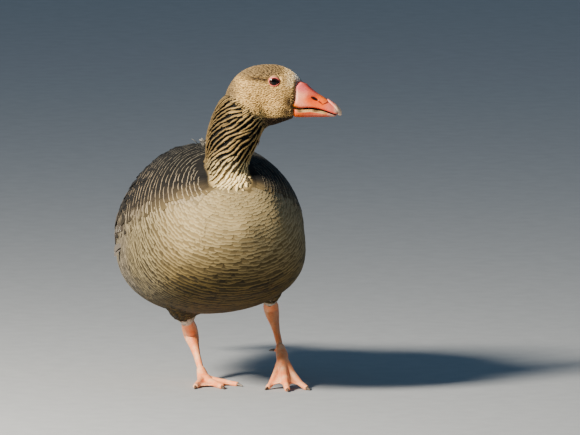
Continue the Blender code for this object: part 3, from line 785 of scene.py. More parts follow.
def feather_material(name, fringe_from, fringe_full, hug=0.12, barbs=14, barb_depth=0.16, shaft=None,
                     root_shade=0.55, ridge=False):
    """A vane with a paler fringe, which starts and is full at these distances from the tip in mm. hug is how
    far it runs up the edges. With ridge it lies on the crest, between two shares of the half width."""
    material, shader = new_material(name)
    vane = add_node(material, "ShaderNodeUVMap", {"uv_map": "Vane"})
    split = add_node(material, "ShaderNodeSeparateXYZ", Vector=vane.outputs["UV"])
    across, along = split.outputs["X"], split.outputs["Y"]
    middle = add_node(material, "ShaderNodeMath", {"operation": "SUBTRACT"}, _0=across, _1=0.5)
    out = add_node(material, "ShaderNodeMath", {"operation": "ABSOLUTE"}, _0=middle.outputs[0]).outputs[0]
    if ridge:
        crest = add_node(material, "ShaderNodeMapRange", SMOOTH, Value=out, From_Min=fringe_full,
                         From_Max=fringe_from, To_Min=1.0, To_Max=0.0)
        rise = add_node(material, "ShaderNodeMapRange", SMOOTH, Value=along, From_Min=0.05, From_Max=0.4)
        fringe = add_node(material, "ShaderNodeMath", TIMES, _0=crest.outputs[0], _1=rise.outputs[0])
    else:
        square = add_node(material, "ShaderNodeMath", {"operation": "POWER"}, _0=out, _1=2.0)
        edge = add_node(material, "ShaderNodeMath", TIMES_PLUS, _0=square.outputs[0], _1=hug * 4, _2=along)
        left = add_node(material, "ShaderNodeMath", {"operation": "SUBTRACT"}, _0=1.0, _1=edge.outputs[0])
        size = add_node(material, "ShaderNodeAttribute", {"attribute_name": "vane_length"})
        from_tip = add_node(material, "ShaderNodeMath", TIMES, _0=left.outputs[0], _1=size.outputs["Fac"])
        fringe = add_node(material, "ShaderNodeMapRange", SMOOTH, Value=from_tip.outputs[0],
                          From_Min=fringe_from, From_Max=fringe_full)
    ground = add_node(material, "ShaderNodeAttribute", {"attribute_name": "ground"})
    tip = add_node(material, "ShaderNodeAttribute", {"attribute_name": "fringe"})
    mixed = add_node(material, "ShaderNodeMix", COLOURS, _0=fringe.outputs[0], _6=ground.outputs["Color"],
                     _7=tip.outputs["Color"])
    slant = add_node(material, "ShaderNodeMath", TIMES_PLUS, _0=out, _1=BARB_SLANT, _2=along)
    turns = add_node(material, "ShaderNodeMath", TIMES, _0=slant.outputs[0], _1=barbs * 2 * pi)
    wave = add_node(material, "ShaderNodeMath", {"operation": "SINE"}, _0=turns.outputs[0]).outputs[0]
    shade = add_node(material, "ShaderNodeMapRange", Value=wave, From_Min=-1.0, From_Max=1.0,
                     To_Min=1 - barb_depth, To_Max=1.0)
    root = add_node(material, "ShaderNodeMapRange", SMOOTH, Value=along, From_Min=0.1, From_Max=0.65,
                    To_Min=root_shade, To_Max=1.0)
    dark = add_node(material, "ShaderNodeMath", TIMES, _0=shade.outputs[0], _1=root.outputs[0])
    toned = add_node(material, "ShaderNodeVectorMath", {"operation": "SCALE"}, _0=mixed.outputs[2],
                     Scale=dark.outputs[0])
    result = toned.outputs[0]
    if shaft:
        line = add_node(material, "ShaderNodeMath", {"operation": "LESS_THAN"}, _0=out, _1=SHAFT_HALF)
        result = add_node(material, "ShaderNodeMix", COLOURS, _0=line.outputs[0], _6=result,
                          _7=colour(shaft)).outputs[2]
    bump = add_node(material, "ShaderNodeBump", Height=wave, Strength=0.25, Distance=0.12 * MM)
    set_inputs(material, shader, Base_Color=result, Normal=bump.outputs["Normal"], Roughness=0.75,
               Specular_IOR_Level=0.16, Sheen_Weight=0.02, Sheen_Roughness=0.5)
    return material


soft_vane = feather_material("soft contour feather keratin", 3.2, 1.0, hug=0.03, barbs=22, barb_depth=0.1)
mantle_vane = feather_material("mantle feather keratin", 1.15, 0.75, hug=0.03, root_shade=0.8)
neck_vane = feather_material("neck feather keratin", 0.42, 0.12, ridge=True, root_shade=0.9)
head_vane = feather_material("short head feather keratin", 3.3, 0.3, barbs=5, root_shade=0.75)
flight_vane = feather_material("flight feather keratin", 2.6, 1.6, hug=0.04, barbs=60, barb_depth=0.1,
                               shaft="5E564D", root_shade=0.85)
print("feather finishes:", 5)


def dress(piece, material, slot, *nodes):
    """Gives a finished piece its material, hangs it from the root and hides the solids that it stands for. The
    slot is not used.
    """
    piece.data.materials.clear()
    piece.data.materials.append(material)
    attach(piece, "root")
    if nodes:
        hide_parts(*nodes)
    return piece


# %% [markdown]
# ## The skin's own finish
# Under the coat a goose's skin is covered by grey down. Little of it shows, but where feathers part it must
# carry the colours above it, darker, as if in shade.

# %% Finishing the skin
SKIN_SHADE = {"body": 0.62, "head": 0.8}     # the skin's colour, as a share of the coat's above it


def skin_material():
    material, shader = new_material("down covered skin")
    ground = add_node(material, "ShaderNodeAttribute", {"attribute_name": "ground"})
    place = add_node(material, "ShaderNodeTexCoord").outputs["Object"]
    down = add_node(material, "ShaderNodeTexNoise", Vector=place, Scale=900.0, Detail=3.0).outputs["Fac"]
    shade = add_node(material, "ShaderNodeMapRange", Value=down, From_Min=0.3, From_Max=0.7, To_Min=0.75,
                     To_Max=1.1)
    toned = add_node(material, "ShaderNodeVectorMath", {"operation": "SCALE"}, _0=ground.outputs["Color"],
                     Scale=shade.outputs[0])
    bump = add_node(material, "ShaderNodeBump", Height=down, Strength=0.4, Distance=0.3 * MM)
    set_inputs(material, shader, Base_Color=toned.outputs[0], Normal=bump.outputs["Normal"], Roughness=0.85,
               Specular_IOR_Level=0.2)
    return material


skin = object_from("skin", skin_shell)
skin_ground = plumage(skin_points)[0]
in_neck = (neck_share(skin_points) * ease(262, 298, skin_points[:, 2]))[:, None]
on_face = head_share(skin_points)[:, None]
skin_tone = skin_ground * SKIN_SHADE["body"] * (1 - in_neck) + GROOVE * in_neck
skin_tone = skin_tone * (1 - on_face) + skin_ground * SKIN_SHADE["head"] * on_face
store(skin.data, "ground", "FLOAT_COLOR", skin_tone)
dress(skin, skin_material(), "breast_feather", *SKIN_NODES)
print("skin triangles:", 2 * len(skin_faces))

# %% [markdown]
# ## Breast, belly and flanks
# These are the small soft feathers of a goose: 12 mm long where they start at the neck, a little longer below
# and behind, three deep. Their pale fringes make the fine arcs across the breast.

# %% Body feathers
def body_share(points):
    rest = (1 - head_share(points)) * (1 - neck_share(points)) * ease(316, 304, points[:, 2])
    return rest * (1 - upper_share(points)) * (1 - thigh_share(points, 6))


BODY_SPLIT = -120.0              # y where one coat piece ends and the next begins
BODY_RING = 3.6                  # mm between the first two rings
BODY_GROWTH = 0.006
BODY_ACROSS = 5.4
BODY_OVERLAP = 3.4               # feather length, in distances between rings
BODY_STRAY = 0.16


def low_share(points):
    return body_share(points) * (points[:, 1] > BODY_SPLIT)


def front_share(points):
    return body_share(points) * (points[:, 1] <= BODY_SPLIT)


def grow_body(name, share):
    places, normals, step, narrow = sown_in_rings(share, BODY_RING, BODY_GROWTH, BODY_ACROSS, 11, BODY_STRAY)
    small = 1 - 0.4 * ease(50, 110, places[:, 1])
    length = step * small * BODY_OVERLAP * (1 + 0.05 * rng.normal(size=len(step)))
    width = step * small * 2.8 * narrow * (1 + 0.08 * rng.normal(size=len(step)))
    trail = walk(places, normals, length, 2)
    trail, places, width = picked(steady(trail), trail, places, width)
    far = np.linalg.norm(places - NECK_FOOT, axis=1)

    # near the neck the two colours draw together, and low down some feathers are stained dark
    ground, fringe = plumage(places, True)
    calm = 0.5 * ease(115, 45, far)[:, None]
    between = 0.4 * ground + 0.6 * fringe
    ground, fringe = ((tone * (1 - calm) + between * calm) * (1 + 0.2 * calm) for tone in (ground, fringe))
    fleck = 1 - 0.55 * (rng.random((len(places), 1)) < 0.16) * ease(215, 150, places[:, 2])[:, None]
    tints = {key: tone * fleck for key, tone in tinted(ground, fringe, (0.10, 0.06)).items()}
    piece = grow(name, BODY_LEAF, trail, width, tints, blunt=10, sink=1.0, thick=0.25, camber=0.01,
                 stand=0.7 + 0.9 * ease(45, 150, far), waist=0.7, ragged=0.05)
    return dress(piece, soft_vane, "breast_feather")


grow_body("coat_breast", front_share)
grow_body("coat_belly", low_share)

# %% Feathered legs
THIGH_SPACING = 2.6


def grow_thighs():
    """Small loose feathers down the legs, paler towards the bare shank: their own pale ends, with painted
    light laid over the whole thigh where the belly shades it.
    """
    places, normals = sown_freely(thigh_share, THIGH_SPACING)
    ends = np.where(places[:, 0] > MIDDLE, THIGHS[1][0][2], THIGHS[0][0][2])
    length = np.clip(places[:, 2] - ends + 4, 4.5, 11) * (1 + 0.1 * rng.normal(size=len(places)))
    width = 4.2 * (1 + 0.12 * rng.normal(size=len(places)))
    trail = walk(places, normals, length * 0.9, 2)
    ground, fringe = plumage(places)
    # painted light as well as the thighs' own pale ends: the whole thigh is lightened, most near the shank,
    # where the belly shades it
    pale = 0.3 + 0.6 * ease(32, 8, places[:, 2] - ends)[:, None]
    ground = ground * (1 - pale) + paint("A89F8E") * pale
    fringe = fringe * (1 - pale) + paint("DCD4C5") * pale
    tints = tinted(ground, fringe, (0.12, 0.08))
    piece = grow("coat_thighs", BODY_LEAF, trail, width, tints, blunt=4, sink=0.5, stand=1.2, thick=0.25,
                 camber=0.05)
    return dress(piece, soft_vane, "breast_feather")


grow_thighs()

# %% [markdown]
# ## Mantle, shoulders and wing coverts
# The upper side wears broader, stiffer feathers, near black with a crisp pale edge, in hoops that follow the
# shoulder. They start small behind the neck and are four times as long on the folded wing.

# %% Mantle and coverts
MANTLE_RING = 2.8
MANTLE_GROWTH = 0.046
MANTLE_ACROSS = 4.2
MANTLE_OVERLAP = 3.2


def mantle_share(points):
    """The upper side, down to the tertials, and between the wings to the rump."""
    inner = np.abs(points[:, 0] - MIDDLE) < 28
    room = np.where(inner, ease(165, 150, points[:, 1]), ease(96, 86, points[:, 1]))
    room = room * ease(316, 304, points[:, 2])
    return (1 - head_share(points)) * (1 - neck_share(points)) * upper_share(points) * room


def grow_mantle():
    places, normals, step, narrow = sown_in_rings(mantle_share, MANTLE_RING, MANTLE_GROWTH, MANTLE_ACROSS, 9)
    small = 1 - 0.35 * ease(60, 110, places[:, 1])
    length = step * small * MANTLE_OVERLAP * (1 + 0.04 * rng.normal(size=len(step)))
    width = step * small * 3.0 * narrow * (1 + 0.05 * rng.normal(size=len(step)))
    trail = walk(places, normals, length, 2)
    trail, width, length = picked(steady(trail), trail, width, length)
    tints = tinted("FFFFFF", "FFFFFF", (0.15, 0.12), len(width))
    piece = grow("coat_mantle", BODY_LEAF, trail, width, tints, blunt=13, sink=0.8, stand=1.5, thick=0.3,
                 camber=0.01, waist=0.6, ragged=0.04, patch=0.006, broad=1 + ease(16, 40, length),
                 by_place=True)
    return dress(piece, mantle_vane, "back_feather")


grow_mantle()

# %% [markdown]
# ## Flight feathers and tail
# The long feathers stand free of the skin, so each gets its own line: a root under the coverts and a tip that
# shows. Each wing has six broad tertials over seven primaries, stacked with the longest lowest. The tail is a
# shallow fan of sixteen, brown-grey in the middle and white at the ends and sides.

# %% Lines of the long feathers
def mirrored(sideways, side):
    """x of a place this far from the middle plane; side is 1 for the bird's left."""
    return MIDDLE + side * sideways


def line_trail(roots, tips, normals, sag):
    """Straight lines with a bend of sag mm, as places and normals at root, middle and end."""
    roots, tips, normals = (np.asarray(v, float) for v in (roots, tips, normals))
    ahead = unit(tips - roots)
    normals = unit(flat_on(normals, ahead))
    middle = (roots + tips) / 2 + normals * np.asarray(sag)[:, None]
    return [(roots, normals), (middle, normals), (tips, normals)]


PRIMARY_TIPS = ((30, 128, 197), (28, 146, 189), (25, 164, 181), (22, 181, 173), (19, 197, 165),
                (16.5, 211, 158), (14.5, 224, 151.5))      # from the middle plane, y, z
PRIMARY_ROOT = (40, 62, 207)
PRIMARY_SHIFT = np.array((-1.2, 6.0, -2.2))      # from one root to the next
PRIMARY_WIDTH = 17.0
PRIMARY_LEAN = radians(24)


def grow_primaries(side, name, node):
    count = len(PRIMARY_TIPS)
    roots, tips = PRIMARY_ROOT + PRIMARY_SHIFT * np.arange(count)[:, None], np.array(PRIMARY_TIPS)
    for places in (roots, tips):
        places[:, 0] = mirrored(places[:, 0], side)
    normals = np.tile((side * sin(PRIMARY_LEAN), 0.3, cos(PRIMARY_LEAN)), (count, 1))
    trail = line_trail(roots, tips, normals, np.full(count, 5.0))
    tints = tinted("2A2725", "8F877C", (0.05, 0.05), count)
    piece = grow(name, LARGE_LEAF, trail, np.full(count, PRIMARY_WIDTH), tints, blunt=9, sink=0, stand=0,
                 thick=0.7, camber=0.08, waist=0.8, ragged=0.01, patch=0.02)
    return dress(piece, flight_vane, "flight_feather", node)


TERTIAL_RING = (112, 176, 125)   # a ring round the trunk: half width, height of its middle, rise
TERTIAL_ROOTS = ((22, 20), (34, 24), (47, 28), (60, 34), (74, 42), (88, 50))   # degrees round it, y
TERTIAL_LENGTH = 112.0
TERTIAL_WIDTH = 30.0


def grow_tertials(side, name):
    turn, y = np.array(TERTIAL_ROOTS, float).T
    slope = np.radians(turn)
    across = mirrored(TERTIAL_RING[0] * np.sin(slope), side)
    high = TERTIAL_RING[1] + TERTIAL_RING[2] * np.cos(slope)
    places, normals = on_skin(np.stack((across, y, high), 1))
    count = len(places)
    length = TERTIAL_LENGTH * (1 - 0.055 * np.arange(count))
    root, middle, end = walk(places, normals, length * 0.8, 2)
    tips = middle[0] + unit(end[0] - middle[0]) * (length * 0.5)[:, None]
    trail = [root, middle, (tips, unit(middle[1] + end[1]))]
    tints = tinted("4A433D", "CFC6B8", (0.08, 0.04), count)
    piece = grow(name, LARGE_LEAF, trail, np.full(count, TERTIAL_WIDTH), tints, blunt=6, sink=-2.0, stand=4.4,
                 thick=0.6, camber=0.07, waist=0.55, ragged=0.02, patch=0.02)
    return dress(piece, flight_vane, "flight_feather")


for side, side_name in ((1, "left"), (-1, "right")):
    grow_primaries(side, "flight_primaries_" + side_name, "primaries_" + side_name)
    grow_tertials(side, "flight_tertials_" + side_name)

# %% The tail fan
TAIL_COUNT = 16
TAIL_ROOT = (24.0, 150.0, 157.0)     # half width of the roots' row, then y and z
TAIL_END = 138.5                     # height of the tips
TAIL_SPREAD = radians(25)
TAIL_LENGTH = 98.0
TAIL_WIDTH = 17.0
TAIL_ARCH = 6.5                      # how much lower the outer feathers lie


def grow_tail():
    share = np.linspace(-1, 1, TAIL_COUNT)
    turn = share * TAIL_SPREAD
    length = TAIL_LENGTH * (1 - 0.10 * share ** 2)
    drop = TAIL_ARCH * share ** 2
    stack = 1.6 * (1 - np.abs(share))
    root_x = MIDDLE + TAIL_ROOT[0] * np.sin(turn)
    even = np.ones(TAIL_COUNT)
    roots = np.stack((root_x, TAIL_ROOT[1] * even, TAIL_ROOT[2] - 0.3 * drop + stack), 1)
    tips = np.stack((root_x + length * np.sin(turn), TAIL_ROOT[1] + length * np.cos(turn),
                     TAIL_END - 0.55 * drop + stack), 1)
    trail = line_trail(roots, tips, np.stack((0.22 * share, 0.2 * even, even), 1), even)
    white = ease(0.55, 1.0, np.abs(share))[:, None]
    tints = {"ground": paint("5B534B") * (1 - white) + paint("D8D3CA") * white,
             "fringe": np.tile(paint("F2EFE9"), (TAIL_COUNT, 1))}
    piece = grow("flight_tail", LARGE_LEAF, trail, TAIL_WIDTH * even, tints, blunt=8, sink=0, stand=0,
                 thick=0.7, camber=0.05, waist=0.7, ragged=0.01, patch=0.02)
    return dress(piece, tail_vane, "flight_feather", "tail")


tail_vane = feather_material("tail feather keratin", 24, 16, hug=0.16, barbs=50, barb_depth=0.1,
                             shaft="A0968A", root_shade=0.9)
grow_tail()

# %% [markdown]
# ## Odd feathers
# A few feathers lie apart from the rows: long pale-edged ones where the flank meets the wing, two lifted ones
# low on the right side, a wisp of down behind the neck and a ruffled lock at the throat.

# %% Flank plumes, lifted feather, down and lock
FLANK_PLUMES = 10
FLANK_ENDS = (-42, 84)           # y of the first and the last root


def grow_flank_line(side, name):
    along_y = np.linspace(*FLANK_ENDS, FLANK_PLUMES)
    starts = np.stack((np.full(FLANK_PLUMES, MIDDLE + side * 125), along_y, np.zeros(FLANK_PLUMES)), 1)
    starts[:, 2] = border_height(starts) - 9
    places, normals = on_skin(starts)
    length = 28 + 0.05 * (along_y - along_y[0])
    trail = walk(places, normals, length, 2)
    tints = tinted("3B332A", "CFC7B9", (0.1, 0.05), FLANK_PLUMES)
    piece = grow(name, LARGE_LEAF, trail, length * 0.42, tints, blunt=5, sink=0.4, stand=3.2, thick=0.35,
                 camber=0.04, waist=0.6, ragged=0.03)
    return dress(piece, plume_vane, "back_feather")


def grow_loose(name, roots, tips, width, ground, fringe, material, slot, bend=1.0, blunt=4):
    """Feathers that stand free of the coat, on lines of their own."""
    roots, tips = np.array(roots, float), np.array(tips, float)
    base, normals = on_skin(roots)
    trail = line_trail(base, base + tips, normals, np.full(len(roots), bend))
    tints = tinted(ground, fringe, (0.08, 0.05), len(roots))
    piece = grow(name, BODY_LEAF, trail, np.full(len(roots), width), tints, blunt=blunt, sink=0.2, stand=0.3,
                 thick=0.3, camber=0.06, waist=0.5, ragged=0.06)
    return dress(piece, material, slot)


plume_vane = feather_material("flank plume keratin", 1.9, 1.2, hug=0.10, root_shade=0.8)
down_vane = feather_material("loose down", 6.0, 1.0, barbs=20, barb_depth=0.25)
grow_flank_line(1, "flank_line_left")
grow_flank_line(-1, "flank_line_right")
grow_loose("flank_lifted", [(-117, -14, 171), (-117, -12, 167)], [(-5, 19, -10), (-4.5, 18, -12)], 9,
           "57514B", "D8D2C6", plume_vane, "back_feather", 3.0, 5)
wisp = rng.normal(size=(12, 3))
grow_loose("down_wisp", [(-28 + 2 * x, -96 + 3 * y, 292) for x, y, _ in wisp],
           [(-2 + 3 * x, 2 + 3 * y, 8.5 + 1.2 * z) for x, y, z in wisp], 5.0, "7C7870", "948F87",
           down_vane, "back_feather", 1.5, 2.5)
lock = rng.normal(size=(7, 3))
grow_loose("throat_lock", [(12.6 + x, -189.6 + 2 * y, 322 + 4 * z) for x, y, z in lock],
           [(-2.5 + 0.8 * x, -1 + y, -13 + 1.5 * z) for x, y, z in lock], 4.6, "2A1E12", "A88A5E", neck_vane,
           "head_feather", 1.0, 3)

# %% [markdown]
# ## The furrowed neck
# A grey goose's neck feathers lie in slanting ridges with dark furrows between. The ridges are traced along
# the lie from many starts, and a line ends where it comes too near one that is already there, which spaces
# them evenly and lets them merge and part as real ones do. Narrow, strongly arched feathers then ride each
# ridge one behind the other.

# %% Ridge lines
RIDGE_SPACING = 4.2
RIDGE_LEAST = 3.4
RIDGE_STRIDE = 2.0
RIDGE_STARTS = 1500
RIDGE_STEPS = 34


def neck_mask(points):
    inside, above = neck_edge(points)
    return (head_share(points) < 0.8) * (above > 0) * (inside > -1)


def ridge_lines():
    """Lists of places and normals, one list for each ridge, from its upper end down."""
    starts, normals = drawn(neck_mask, 1.0, 1.0)
    pick = rng.permutation(len(starts))[:RIDGE_STARTS]
    trails = {}
    for way in (1, -1):
        here, up = starts[pick], normals[pick]
        trail = [(here, up)]
        for _ in range(RIDGE_STEPS):
            here, up = on_skin(here + way * RIDGE_STRIDE * lie_at(here, up))
            trail.append((here, up))
        trails[way] = trail
    taken = {}

    def crowded(place):
        cell = tuple(np.floor(place / RIDGE_SPACING).astype(int))
        near = [p for i in (-1, 0, 1) for j in (-1, 0, 1) for k in (-1, 0, 1)
                for p in taken.get((cell[0] + i, cell[1] + j, cell[2] + k), ())]
        return bool(near) and ((np.array(near) - place) ** 2).sum(1).min() < RIDGE_LEAST ** 2

    lines = []
    for i in range(len(pick)):
        halves = []
        for way in (-1, 1):
            half = []
            for place, up in trails[way]:
                if crowded(place[i]) or not neck_mask(place[i][None])[0]:
                    break
                half.append((place[i], up[i]))
            halves.append(half)
        line = halves[0][::-1] + halves[1][1:]
        if len(halves[0]) < 1 or len(line) < 5:
            continue
        for place, _ in line:
            taken.setdefault(tuple(np.floor(place / RIDGE_SPACING).astype(int)), []).append(place)
        lines.append(line)
    return lines


neck_lines = ridge_lines()
print("ridges:", len(neck_lines))

# %% Neck feathers
NECK_FEATHER = (15.0, 4.5)       # length and width
NECK_STEP = 2                    # strides between feathers on a ridge
NECK_GAPS = 0.03                 # share of feathers that are missing


def grow_neck():
    roots, ups = [], []
    for line in neck_lines:
        for place, up in line[::NECK_STEP]:
            if rng.random() < NECK_GAPS:
                continue
            roots.append(place)
            ups.append(up)
    roots, ups = np.array(roots), np.array(ups)
    roots, ups = on_skin(roots + rng.normal(scale=0.25, size=roots.shape))
    inside, _ = neck_edge(roots)
    low = ease(310, 262, roots[:, 2])
    nape = (np.interp(roots[:, 2], SPINE[8:1:-1, 2], SPINE[8:1:-1, 0]) - roots[:, 0]) / 25
    length = NECK_FEATHER[0] * (1 + 0.12 * rng.normal(size=len(roots))) * (1 - 0.3 * low)
    length = length * np.where(low > 0.1, np.clip((inside + 7) / 14, 0.5, 1), 1)
    width = NECK_FEATHER[1] * (0.8 + 0.4 * rng.random(len(roots))) * (1 + 0.5 * low ** 2)
    trail = walk(roots, ups, length, 2)
    held = steady(trail, 0.3) & ((neck_edge(trail[2][0])[0] > -2.0) | (low < 0.12))
    trail, roots, low, nape, width = picked(held, trail, roots, low, nape, width)
    ground, fringe = plumage(roots)
    low = low[:, None]
    shade = (1 - 0.68 * ease(0.0, 1.0, nape))[:, None]
    dark = GROOVE * 1.4 * (1 - low ** 2) + ground * 0.85 * low ** 2
    tints = tinted(dark * shade, fringe * shade, (0.15, 0.13))
    relief = ease(256, 292, roots[:, 2]) * (1 - 0.7 * ease(0.1, 0.75, head_share(roots)))
    piece = grow("coat_neck", BODY_LEAF, trail, width, tints, blunt=3, stand=0.35 + 1.55 * relief, sink=0.5,
                 thick=0.3, camber=0.03 + 0.32 * relief, ragged=0.1, flat=False)
    return dress(piece, neck_vane, "head_feather")


grow_neck()

# %% [markdown]
# ## The head
# On the face the feathers are the smallest of all, 4 to 6 mm long and flat as velvet. They run back from the
# bill, part round the eye, and their mottle comes from each one's own shade.

# %% Head feathers
HEAD_SPACING = 1.45
HEAD_FEATHER = (6.4, 2.1)


def face_mask(points):
    own = in_head(points)
    round_eye = (own[:, 0] / EYE_OPENING[0]) ** 2 + (own[:, 2] / EYE_OPENING[1]) ** 2
    return (head_share(points) > 0.05) * (round_eye > 1.0) * (own[:, 0] < feather_edge(own))


def grow_head():
    places, normals = sown_freely(face_mask, HEAD_SPACING)
    own = in_head(places)
    small = 0.70 + 0.30 * ease(24, -30, own[:, 0])
    length = HEAD_FEATHER[0] * small * (1 + 0.14 * rng.normal(size=len(places)))
    width = HEAD_FEATHER[1] * small * (1 + 0.12 * rng.normal(size=len(places)))
    trail = walk(places, normals, length, 2)
    tints = tinted(*plumage(places), (0.18, 0.16))
    piece = grow("coat_head", SMALL_LEAF, trail, width, tints, blunt=4, sink=0.3, stand=0.6, thick=0.18,
                 camber=0.07, ragged=0.12, flat=False)
    return dress(piece, head_vane, "head_feather")


grow_head()

# %% [markdown]
# ## The eyes
# A goose's eye is a dark brown ball under a clear, wet surface, with a narrow bare ring of pink skin round
# it, drawn to a point in front. The ball is one sphere whose pupil and iris are painted by the distance from
# its axis, and the ring is a thin tube swept round an oval and laid on the ball.

# %% Eyes and lids
BALL = 8.2
BALL_SIDE = 12.9                 # its centre from the middle of the head
IRIS = 5.0
PUPIL = 2.9
RING_SIZE = (6.5, 5.3)           # half width and half height of the ring's middle line
RING_TUBE = (0.75, 0.5)          # half width and half height of its section
RING_POINT = 1.3                 # how far the front corner is drawn out
RING_TILT = 0.06                 # the upper lid lies deeper than the lower one
RING_SPUN = 10.0                 # radius that it is spun at, before it takes its oval


def eye_material():
    material, shader = new_material("wet dark iris under cornea")
    far = add_node(material, "ShaderNodeAttribute", {"attribute_name": "from_axis"}).outputs["Fac"]
    stops = ((0.0, "030202"), (PUPIL / BALL, "030202"), (PUPIL / BALL + 0.05, "2A1208"),
             (IRIS / BALL, "1E0C05"), (IRIS / BALL + 0.06, "0B0503"), (0.92, "0B0503"), (0.98, "A5805A"))
    base = add_node(material, "ShaderNodeValToRGB", {"stops": stops}, Fac=far)
    set_inputs(material, shader, Base_Color=base.outputs["Color"], Roughness=0.04, IOR=1.36)
    return material


def grained(name, tones, scale, detail=3.0, relief=None, **inputs):
    """A finish of two tones in soft patches. relief is the strength of its bump, and its depth in mm."""
    material, shader = new_material(name)
    place = add_node(material, "ShaderNodeTexCoord").outputs["Object"]
    noise = add_node(material, "ShaderNodeTexNoise", Vector=place, Scale=scale, Detail=detail)
    patches = noise.outputs["Fac"]
    tone = add_node(material, "ShaderNodeValToRGB", {"stops": tuple(zip((0.3, 0.7), tones))}, Fac=patches)
    set_inputs(material, shader, Base_Color=tone.outputs["Color"], **inputs)
    if relief:
        bump = add_node(material, "ShaderNodeBump", Height=patches, Strength=relief[0],
                        Distance=relief[1] * MM)
        set_inputs(material, shader, Normal=bump.outputs["Normal"])
    return material


def make_eye(side, name, node):
    """The eyeball. Outside the ring it takes the colour of the short feathers round it."""
    centre = from_head([(0, side * BALL_SIDE, 0)])[0]
    bm = bmesh.new()
    bmesh.ops.create_uvsphere(bm, u_segments=48, v_segments=32, radius=BALL)
    turn = Vector((0, 0, 1)).rotation_difference(Vector(side * LEFTWARD)).to_matrix().to_4x4()
    bmesh.ops.transform(bm, matrix=turn, verts=bm.verts)
    bmesh.ops.translate(bm, vec=Vector(centre), verts=bm.verts)
    own = in_head(np.array([v.co for v in bm.verts]))
    radial = np.hypot(own[:, 0], own[:, 2]) / BALL
    outside = (own[:, 0] / RING_SIZE[0]) ** 2 + (own[:, 2] / RING_SIZE[1]) ** 2 > 1
    bmesh.ops.scale(bm, vec=Vector((MM, MM, MM)), verts=bm.verts)
    piece = object_from(name, bm)
    store(piece.data, "from_axis", "FLOAT", np.where(outside, 1.0, np.minimum(radial, 0.9)))
    return dress(piece, wet_eye, "eye", node)


def make_ring(side, name):
    """The bare ring round one eye, swept round an oval and laid on the ball."""
    bm = bmesh.new()
    section = bmesh.ops.create_circle(bm, segments=10, radius=1.0)["verts"]
    bmesh.ops.scale(bm, vec=Vector((*RING_TUBE, 1)), verts=section)
    bmesh.ops.rotate(bm, cent=Vector(), matrix=Matrix.Rotation(pi / 2, 3, "X"), verts=section)
    bmesh.ops.translate(bm, vec=Vector((RING_SPUN, 0, 0)), verts=section)
    edges = list({e for v in section for e in v.link_edges})
    bmesh.ops.spin(bm, geom=section + edges, cent=Vector(), axis=Vector((0, 0, 1)), angle=2 * pi, steps=64,
                   use_merge=True)
    bmesh.ops.remove_doubles(bm, verts=bm.verts, dist=0.001)
    for vert in bm.verts:
        angle = np.arctan2(vert.co.y, vert.co.x)
        out = vert.co.xy.length - RING_SPUN
        corner = RING_POINT * max(0.0, cos(angle)) ** 8
        x = (RING_SIZE[0] + out + corner * (1 if out > 0 else 0.8)) * cos(angle)
        z = (RING_SIZE[1] + out) * sin(angle)
        ball = max(BALL ** 2 - x ** 2 - z ** 2, 0.5) ** 0.5
        rest = BALL_SIDE + ball * 0.97 + 0.15 + vert.co.z - RING_TILT * z
        vert.co = Vector(from_head([(x, side * rest, z)])[0]) * MM
    bmesh.ops.recalc_face_normals(bm, faces=bm.faces)
    return dress(object_from(name, bm), lid_skin, "bill_skin")


wet_eye = eye_material()
lid_skin = grained("bare pink lid skin", ("CF544E", "E8746C"), 900, 4.0, (0.5, 0.1), Roughness=0.45,
                   Subsurface_Weight=0.15, Subsurface_Radius=(0.002, 0.0008, 0.0005))
for side, side_name in ((1, "left"), (-1, "right")):
    make_eye(side, "eyeball_" + side_name, "eye_" + side_name)
    make_ring(side, "eye_ring_" + side_name)
print("eyes and rings: 4 pieces")

# %% [markdown]
# ## The bill
# The bill is horn over bone under a thin skin: pink at the root, orange round the nostril and below, with a
# pale nail at the tip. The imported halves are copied, their loose triangles merged, and cut finer. Then soft
# pushes sink the nostril in its hollow and tuck the bill's root in under the feathers.

# %% Painting by place on the bill
MOUTH_LINE = ((12, -28), (20, -30.8), (30, -34.2), (44, -33.3), (59, -35.8), (69, -39.4), (75, -41.6))


def store_places(mesh):
    """Stores each point's place in the head's frame, and its height above the mouth's line."""
    own = in_head(np.array([v.co for v in mesh.vertices]) / MM)
    store(mesh, "in_head", "FLOAT_VECTOR", own)
    store(mesh, "above_mouth", "FLOAT", own[:, 2] - np.interp(own[:, 0], *np.array(MOUTH_LINE, float).T))


def oval_mask(material, place, centre, size, turn=0.0, soft=0.4):
    """1 inside an oval on the side of the bill and 0 outside. Centre and half sizes are (forward, up)."""
    local = add_node(material, "ShaderNodeMapping", {"vector_type": "TEXTURE"}, Vector=place,
                     Location=(centre[0], 0, centre[1]), Rotation=(0, radians(turn), 0),
                     Scale=(size[0], 1e5, size[1]))
    far = add_node(material, "ShaderNodeVectorMath", {"operation": "LENGTH"}, Vector=local.outputs[0])
    return add_node(material, "ShaderNodeMapRange", SMOOTH, Value=far.outputs["Value"], From_Min=1 + soft,
                    From_Max=1 - soft).outputs[0]


def band_mask(material, value, low, high, soft):
    """1 between two values and 0 outside them."""
    rise, fall = (add_node(material, "ShaderNodeMapRange", SMOOTH, Value=value, From_Min=edge - way * soft,
                           From_Max=edge + way * soft).outputs[0] for edge, way in ((low, 1), (high, -1)))
    return add_node(material, "ShaderNodeMath", TIMES, _0=rise, _1=fall).outputs[0]


def layered(material, base, layers):
    """Lays colours over each other: (mask, amount, hex colour), the last one on top."""
    base = colour(base)
    for mask, amount, code in layers:
        share = add_node(material, "ShaderNodeMath", TIMES, _0=mask, _1=amount)
        base = add_node(material, "ShaderNodeMix", COLOURS, _0=share.outputs[0], _6=base,
                        _7=colour(code)).outputs[2]
    return base


print("masks and layers ready")

